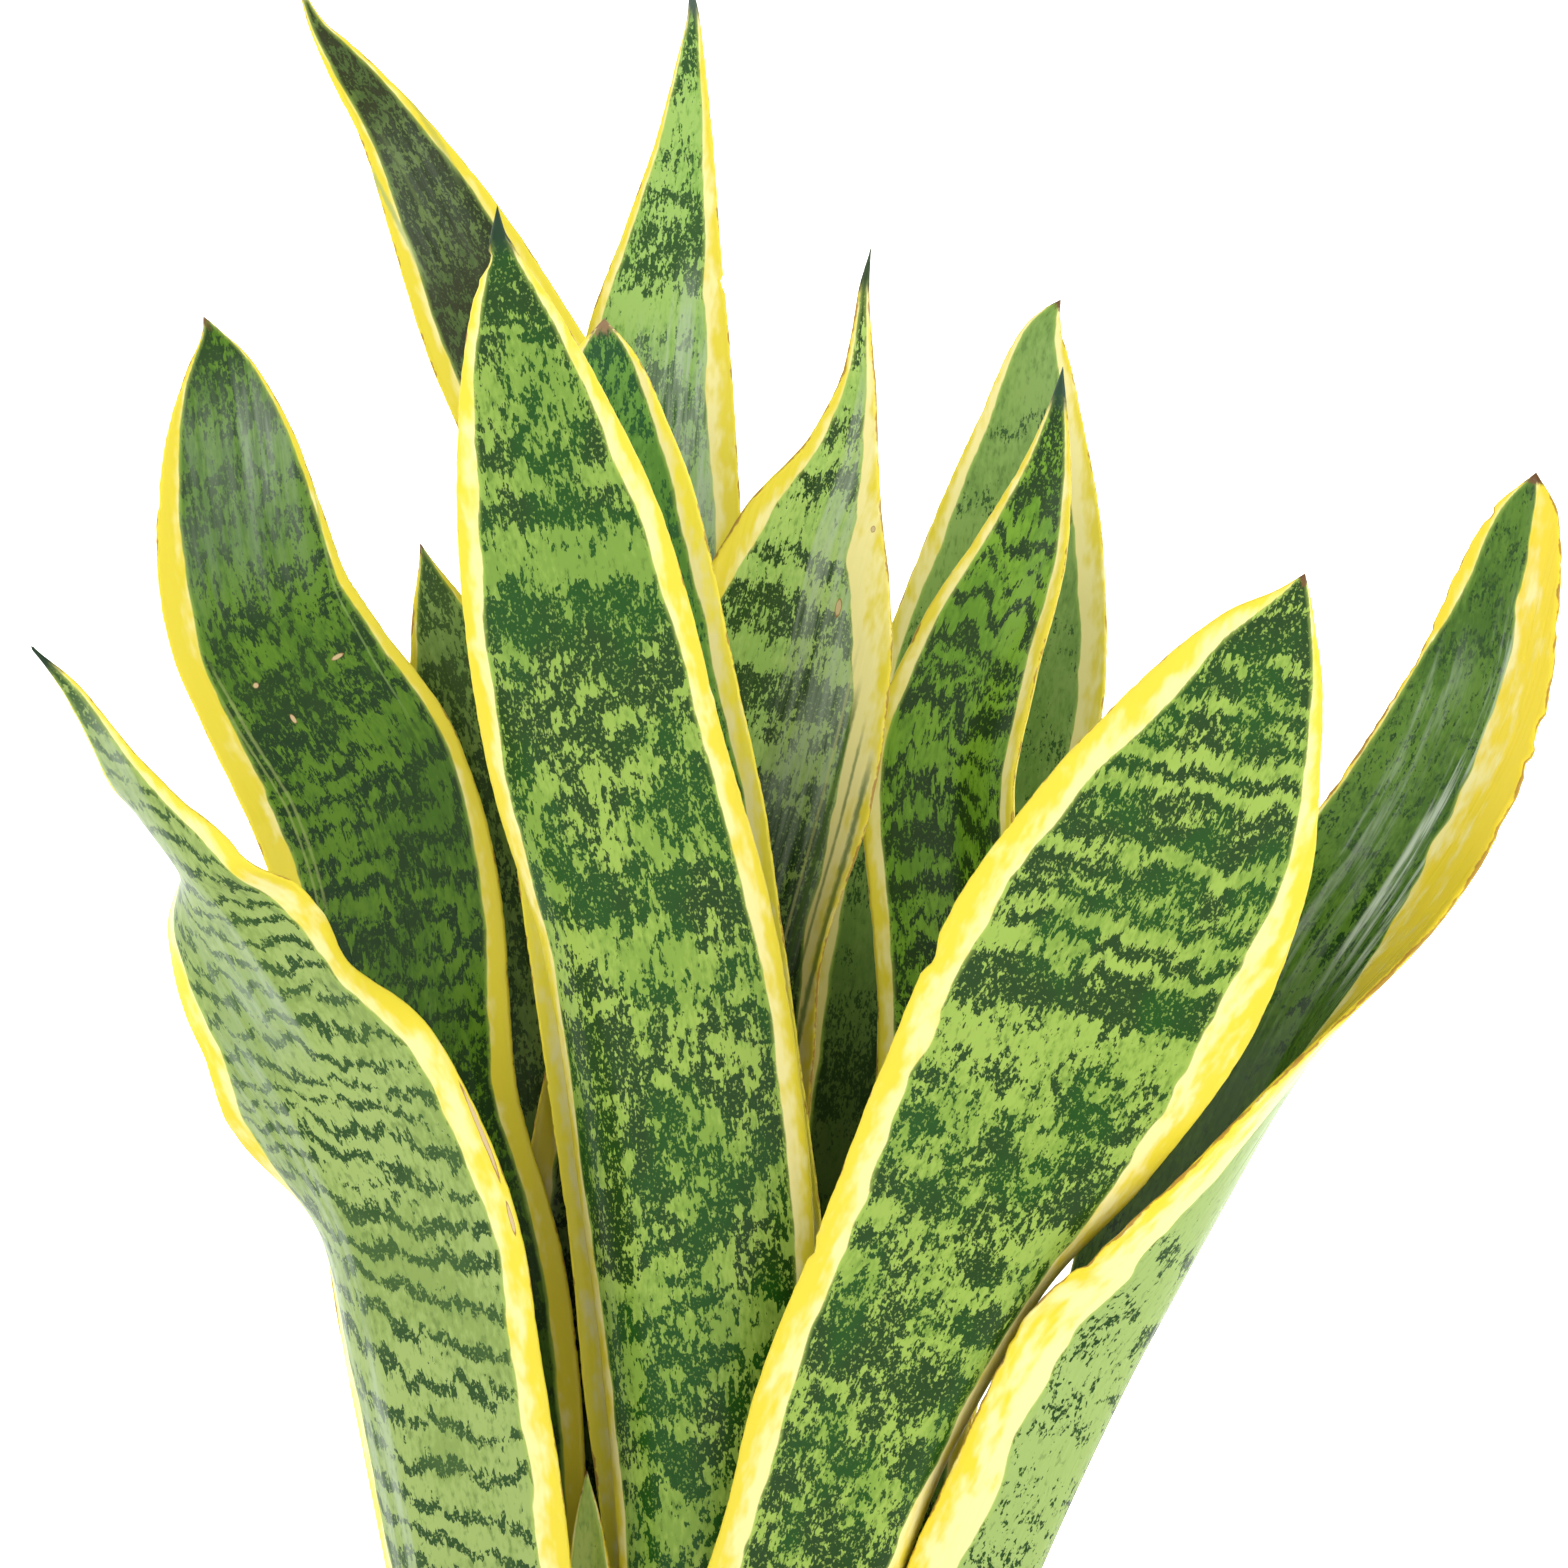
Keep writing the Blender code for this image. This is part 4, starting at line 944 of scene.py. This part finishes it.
blade = set_blade(
    "blade_behind_centre", 9, stations, bands, phase=2.9, light=(paint(106, 152, 66), paint(88, 134, 54)),
    dark=(paint(42, 84, 48), paint(50, 92, 50)), margins=(5.0, 4.2), cream=(0.35, 0.45),
    gold=paint(248, 230, 72), dry_tip=4.0, tip=paint(150, 120, 88),
)
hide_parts("leaf_behind_centre")

# The leaf right of the middle is folded along its midrib like a half-open book, and a painted
# sheen lies on its right half, where light slides off it. Cream threads run from its right
# margin into the green.
stations = (
    (-10, 18, 86, 36, 0, 30, 30),
    (-10, 18, 118, 36, 0, 30, 30),
    (-17, 20, 190, 54, 0, 26, 26),
    (-8.5, 22.5, 262, 65, 0, 18, 29),
    (-1.5, 22.5, 306, 61, 0, 20, 36),
    (5, 22.5, 331, 54, 0, 24, 40),
    (11.6, 22.5, 358, 57.5, 0, 26, 35),
    (18.6, 22, 388, 51.5, 0, 28, 32),
    (24.2, 21, 412, 37.5, 0, 28, 30),
    (31.2, 20, 433, 16.8, 0, 26, 28),
    (34.5, 19, 450, 7, 0, 18, 20),
    (35.1, 19, 461, 3.6, 0, 10, 10),
    (35.4, 19, 466, 2.6, 0, 10, 10),
    (37, 19, 476, 0, 0, 10, 10),
)
bands = (
    (90, 0.6), (130, 0.4), (155, 0.66), (180, 0.4), (205, 0.7), (225, 0.5), (240, 0.75), (255, 0.55),
    (268, 0.75), (280, 0.5), (284, 0.3), (293, 0.75), (299, 0.72), (305, 0.15), (312, 0.72), (317, 0.74),
    (321, 0.12), (328, 0.66), (333, 0.2), (338, 0.15), (345, 0.74), (349, 0.2), (356, 0.7), (362, 0.2),
    (372, 0.4), (384, 0.75),
)
green_thread = paint(74, 104, 44)
stripes = (
    (19.0, 0.9, 215, 300, 0.8, green_thread),
    (22.5, 0.5, 215, 292, 0.7, green_thread),
    (16.8, 0.5, 240, 310, 0.5, paint(206, 206, 138)),
    (26.0, 1.0, 215, 286, 0.8, green_thread),
)
blade = set_blade(
    "blade_centre_right", 10, stations, bands, crease=0.3, phase=0.7,
    light=(paint(170, 200, 102), paint(146, 182, 86)), dark=(paint(34, 64, 22), paint(46, 74, 28)),
    margins=(6.4, 4.6), widen=(238.0, 286.0, 1.95), foot_shade=(250.0, 0.8), cream=(0.1, 0.8),
    dry_edge=0.45, dry_tip=13.0, tip=paint(52, 72, 40), stripes=stripes,
    blooms=((0.5, 34.0, 235, 372, 0.6, 0.1),), scars=((10.0, 318, 0.7, 2.0), (13.0, 338, 0.5, 0.7)),
    gloss=0.27,
)
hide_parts("leaf_centre_right")

# The right leaf is slim and channelled, crossed by even wavy bands, with a dark awl tip
# that stands in front of its taller neighbour.
stations = (
    (30, 14, 86, 34, -12, 40, 40),
    (30, 14, 118, 34, -12, 40, 40),
    (38, 18, 190, 42, -12, 35, 45),
    (52, 22, 260, 33, -12, 30, 50),
    (55.4, 24, 312, 34.5, -12, 30, 55),
    (55.1, 28, 356.5, 40, -14, 30, 62),
    (61.6, 31, 385.5, 32.5, -14, 28, 48),
    (71.1, 34, 409.5, 22, -14, 24, 34),
    (76.9, 37, 430.5, 9.8, -12, 18, 20),
    (78.7, 38.5, 441.5, 4, -10, 10, 10),
    (79.8, 40, 450, 0, -10, 10, 10),
)
bands = (
    (90, 0.6), (130, 0.4), (155, 0.66), (180, 0.4), (205, 0.66), (222, 0.4), (238, 0.66), (246, 0.35),
    (258, 0.6), (266, 0.72), (271, 0.3), (280, 0.24), (287, 0.7), (293, 0.66), (296, 0.2), (301, 0.7),
    (305, 0.22), (312, 0.62), (316, 0.2), (326, 0.38), (338, 0.5), (350, 0.62), (364, 0.7),
)
blade = set_blade(
    "blade_right", 11, stations, bands, crease=0.8, phase=1.9,
    light=(paint(120, 164, 44), paint(98, 144, 34)), dark=(paint(28, 58, 16), paint(36, 64, 16)),
    zigzag=4.6, mottle=0.62, bars=((8.4, 0.55, 236, 345), (13.0, 0.25, 236, 345)), margins=(4.0, 4.4),
    foot_shade=(190.0, 0.3), dry_tip=12.0, tip=paint(40, 70, 48),
)
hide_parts("leaf_right")

# The back right leaf is plainer and greyer than the others: a broad waxy blade with hardly
# a band in its upper half, and a wide pale margin on its right.
stations = (
    (32, 36, 86, 34, -30, 45, 45),
    (32, 36, 118, 34, -30, 45, 45),
    (37, 43, 189, 47, -26, 28, 28),
    (46.2, 52, 260.5, 58, -24, 20, 20),
    (56.6, 61, 328, 59.5, -22, 20, 20),
    (66.4, 67, 376.5, 56.5, -22, 20, 20),
    (72.1, 72, 411, 42.5, -22, 20, 20),
    (74.9, 76, 435.5, 26.3, -22, 18, 18),
    (76.8, 79, 455, 12.4, -20, 12, 12),
    (79.2, 80, 461.5, 5, -20, 10, 10),
    (81.5, 81, 465, 0, -20, 10, 10),
)
bands = (
    (90, 0.5), (130, 0.4), (155, 0.6), (180, 0.3), (205, 0.6), (230, 0.3), (250, 0.5), (270, 0.26),
    (288, 0.36), (296, 0.14), (304, 0.4), (312, 0.14), (330, 0.22), (335, 0.5), (340, 0.15), (353, 0.15),
    (356, 0.66), (359, 0.1), (368, 0.12), (380, 0.3),
)
blade = set_blade(
    "blade_back_right", 12, stations, bands, phase=0.1, light=(paint(132, 164, 82), paint(114, 150, 68)),
    dark=(paint(46, 80, 36), paint(54, 86, 38)), mottle=0.4, margins=(4.0, 7.2), foot_shade=(230.0, 0.8),
    cream=(0.7, 0.7), dry_tip=3.0,
)
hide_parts("leaf_back_right")

# The youngest leaf is still a tight pale shoot between the others: a small waxy blade, rolled
# nearly shut, that has just come up from the rhizome and has no clear bands yet.
stations = (
    (-20, -13, 86, 9, 0, 60, 60),
    (-20, -13, 118, 9, 0, 60, 60),
    (-22, -13, 150, 12, 0, 50, 50),
    (-23.2, -13, 180, 12, 0, 45, 45),
    (-24, -13, 200, 7, 0, 30, 30),
    (-24.3, -13, 214, 0, 0, 10, 10),
)
blade = set_blade(
    "blade_young", 13, stations, ((10, 0.05), (60, 0.2), (120, 0.1)), slot="young_leaf", phase=0.5,
    light=(paint(168, 186, 84), paint(146, 170, 72)), dark=(paint(84, 118, 52), paint(92, 124, 56)),
    margins=(1.2, 1.2), dry_tip=1.5,
)
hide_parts("leaf_young")

# The pot is filled round the leaf feet with dark peat and bark soil, pressed by hand and
# settled by watering, so that its top is uneven, crumbly and a little below the pot's lip.
soil_top = 0.110
soil_clearance = 0.3 * mm
soil_radius = pot_radius(soil_top) - pot_wall - soil_clearance
soil_rings = 83
soil_sides = 240


def soil_height(x, y):
    """The settled surface: slow rolls and lumps under the crumbs."""
    rolls = math.sin(x / 0.011 + 0.6) * math.cos(y / 0.011 - 0.4)
    lumps = math.sin((x - y / 2) / 0.0055 + 1.1) * math.cos((x / 2 + y) / 0.0055)
    return soil_top + 1.6 * mm * (rolls + lumps / 2)


def fill_soil():
    """One closed body: a crumbly top, and plain sides and bottom against the clay."""
    earth = bmesh.new()
    rings = []
    for step in range(1, soil_rings + 1):
        r = soil_radius * step / soil_rings
        ring = []
        for side in range(soil_sides):
            angle = 2 * math.pi * side / soil_sides
            x, y = r * math.cos(angle), r * math.sin(angle)
            spot = Vector((x, y, 0.0))
            crumb = noise.noise(spot * 420) * 0.9 + noise.noise(spot * 950) * 0.7
            crumb += noise.noise(spot * 1900) * 0.3
            calm = min(1.0, (soil_radius - r) / (6 * mm))
            height = soil_top + (soil_height(x, y) - soil_top) * calm + crumb * mm * (0.35 + 0.65 * calm)
            ring.append(earth.verts.new((x, y, height)))
        rings.append(ring)
    foot_radius = pot_radius(pot_floor) - pot_wall - soil_clearance
    foot_height = pot_floor + soil_clearance
    for r, z in ((foot_radius, foot_height + 3 * mm), (foot_radius - 3 * mm, foot_height)):
        angles = [2 * math.pi * side / soil_sides for side in range(soil_sides)]
        rings.append([earth.verts.new((r * math.cos(angle), r * math.sin(angle), z)) for angle in angles])
    join_rings(earth, rings)
    centre = earth.verts.new((0.0, 0.0, soil_height(0.0, 0.0)))
    for side in range(soil_sides):
        earth.faces.new((centre, rings[0][side], rings[0][(side + 1) % soil_sides]))
    earth.faces.new(rings[-1])
    return finished_mesh(earth, "potting_soil")


def scatter(name, count, sizes, flatness, seed, corners):
    """Many separate little bodies half sunk in the soil's top, joined as one piece."""
    dice = np.random.default_rng(seed)
    heap = bmesh.new()
    for _ in range(count):
        r = (soil_radius - 3 * mm) * math.sqrt(dice.random())
        angle = 2 * math.pi * dice.random()
        x, y = r * math.cos(angle), r * math.sin(angle)
        size = dice.uniform(*sizes) * mm
        shape = Vector((dice.uniform(0.8, 1.0), dice.uniform(0.55, 0.9), flatness * dice.uniform(0.7, 1.2)))
        made = bmesh.ops.create_icosphere(heap, subdivisions=corners, radius=size / 2)["verts"]
        turn = Euler((dice.uniform(-0.6, 0.6), dice.uniform(-0.6, 0.6), dice.uniform(0, math.pi))).to_matrix()
        for vertex in made:
            lump = 1 + 0.35 * noise.noise(vertex.co * (1.6 / size) + Vector((x * 900, y * 900, seed)))
            body = Vector((vertex.co.x * shape.x, vertex.co.y * shape.y, vertex.co.z * shape.z)) * lump
            vertex.co = turn @ body + Vector((x, y, soil_height(x, y) + size * 0.12))
    mesh = bpy.data.meshes.new(name)
    heap.to_mesh(mesh)
    heap.free()
    return mesh


def soil_finish(name, colours, size, roughness, shine):
    """A mealy mineral or woody skin in three colours, with so many grains to a metre."""
    finish, shader, place = new_finish(name)
    coarse = grain(place, (size, size, size), detail=5.0, roughness=0.65)
    fine = grain(place, (size * 5, size * 5, size * 5), (3.0, 1.0, 2.0))
    skin = tint(rise(coarse, 0.38, 0.62), colours[0], colours[1])
    skin = tint(rise(fine, 0.56, 0.7) * 0.7, skin, colours[2])
    lay_on(shader, skin, fine.scaled(0.2, roughness - 0.1), fine.scaled(0.4, coarse), 0.7, 0.5 * mm, shine)
    return finish


peat = soil_finish("peat", (paint(44, 32, 24), paint(66, 48, 36), paint(92, 70, 52)), 260.0, 0.92, 0.2)
potting_soil = put_in_scene("potting_soil", fill_soil(), peat)
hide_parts("soil")
crumbs = soil_finish("peat_crumbs", (paint(38, 28, 22), paint(72, 54, 40), paint(98, 76, 56)), 420.0, 0.9, 0.2)
put_in_scene("soil_crumbs", scatter("soil_crumbs", 700, (1.2, 3.6), 0.8, 4, 1), crumbs)
bark = soil_finish("bark_chips", (paint(82, 54, 34), paint(112, 76, 48), paint(60, 40, 28)), 300.0, 0.8, 0.25)
put_in_scene("soil_bark", scatter("soil_bark", 90, (3.0, 8.0), 0.32, 9, 2), bark)
perlite = soil_finish(
    "perlite", (paint(222, 218, 206), paint(240, 238, 230), paint(190, 184, 170)), 380.0, 0.85, 0.3
)
put_in_scene("soil_perlite", scatter("soil_perlite", 80, (1.6, 3.6), 0.8, 2, 2), perlite)

# Photographed in a plain studio: a pale floor that rises into a backdrop all round, with
# broad soft lamps above and at the sides and bright even light from everywhere.
floor_sides = 72
floor_radius = 3.0
bend_radius = 1.5
backdrop_height = 4.0
floor_drop = 0.02 * mm
sweep = bmesh.new()
run = [(r, 0.0) for r in (0.3, 0.8, 1.6)]
run += round_edge(floor_radius, bend_radius, bend_radius, -90, 0, 13)
run += [(floor_radius + bend_radius, backdrop_height)]
rings = []
for r, z in run:
    angles = [2 * math.pi * side / floor_sides for side in range(floor_sides)]
    rings.append([sweep.verts.new((r * math.cos(a), r * math.sin(a), z - floor_drop)) for a in angles])
sweep.faces.new(rings[0])
join_rings(sweep, rings)
floor_mesh = finished_mesh(sweep, "studio_floor")
studio_floor = bpy.data.objects.new("studio_floor", floor_mesh)
bpy.context.scene.collection.objects.link(studio_floor)
paper, shader, place = new_finish("white_paper")
fibre = grain(place, (6.0, 6.0, 6.0), detail=1.0)
sheet = tint(fibre, paint(248, 248, 247), paint(252, 252, 252))
place.tree.links.new(sheet.socket, shader.inputs["Base Color"])
shader.inputs["Roughness"].default_value = 0.9
shader.inputs["Emission Color"].default_value = (1.0, 1.0, 1.0, 1.0)
from_pot = add_node(place.tree, "ShaderNodeVectorMath", {0: place}, operation="LENGTH").outputs["Value"]
behind = rise(parts_of(place)[1], -2.5, 0.8)
glow = rise(Reading(place.tree, from_pot), 0.35, 0.85) * behind.scaled(0.45, 0.38)
place.tree.links.new(glow.socket, shader.inputs["Emission Strength"])
paper.cycles.emission_sampling = "NONE"
floor_mesh.materials.append(paper)

world = bpy.data.worlds.new("studio_air")
world.use_nodes = True
world.node_tree.nodes["Background"].inputs["Color"].default_value = (1.0, 1.0, 1.0, 1.0)
world.node_tree.nodes["Background"].inputs["Strength"].default_value = 0.12
bpy.context.scene.world = world
for name, spot, size, power in (
    ("lamp_left", (-1.5, -1.3, 1.7), 1.3, 9.0),
    ("lamp_right", (1.7, -1.0, 1.2), 1.2, 8.0),
    ("lamp_top", (0.2, 0.4, 2.2), 1.6, 9.0),
):
    lamp_data = bpy.data.lights.new(name, "AREA")
    lamp_data.shape = "DISK"
    lamp_data.size = size
    lamp_data.energy = power
    lamp = bpy.data.objects.new(name, lamp_data)
    lamp.location = spot
    lamp.rotation_euler = (Vector((0.0, 0.0, 0.3)) - Vector(spot)).to_track_quat("-Z", "Y").to_euler()
    bpy.context.scene.collection.objects.link(lamp)
bpy.context.scene.view_settings.view_transform = "Standard"
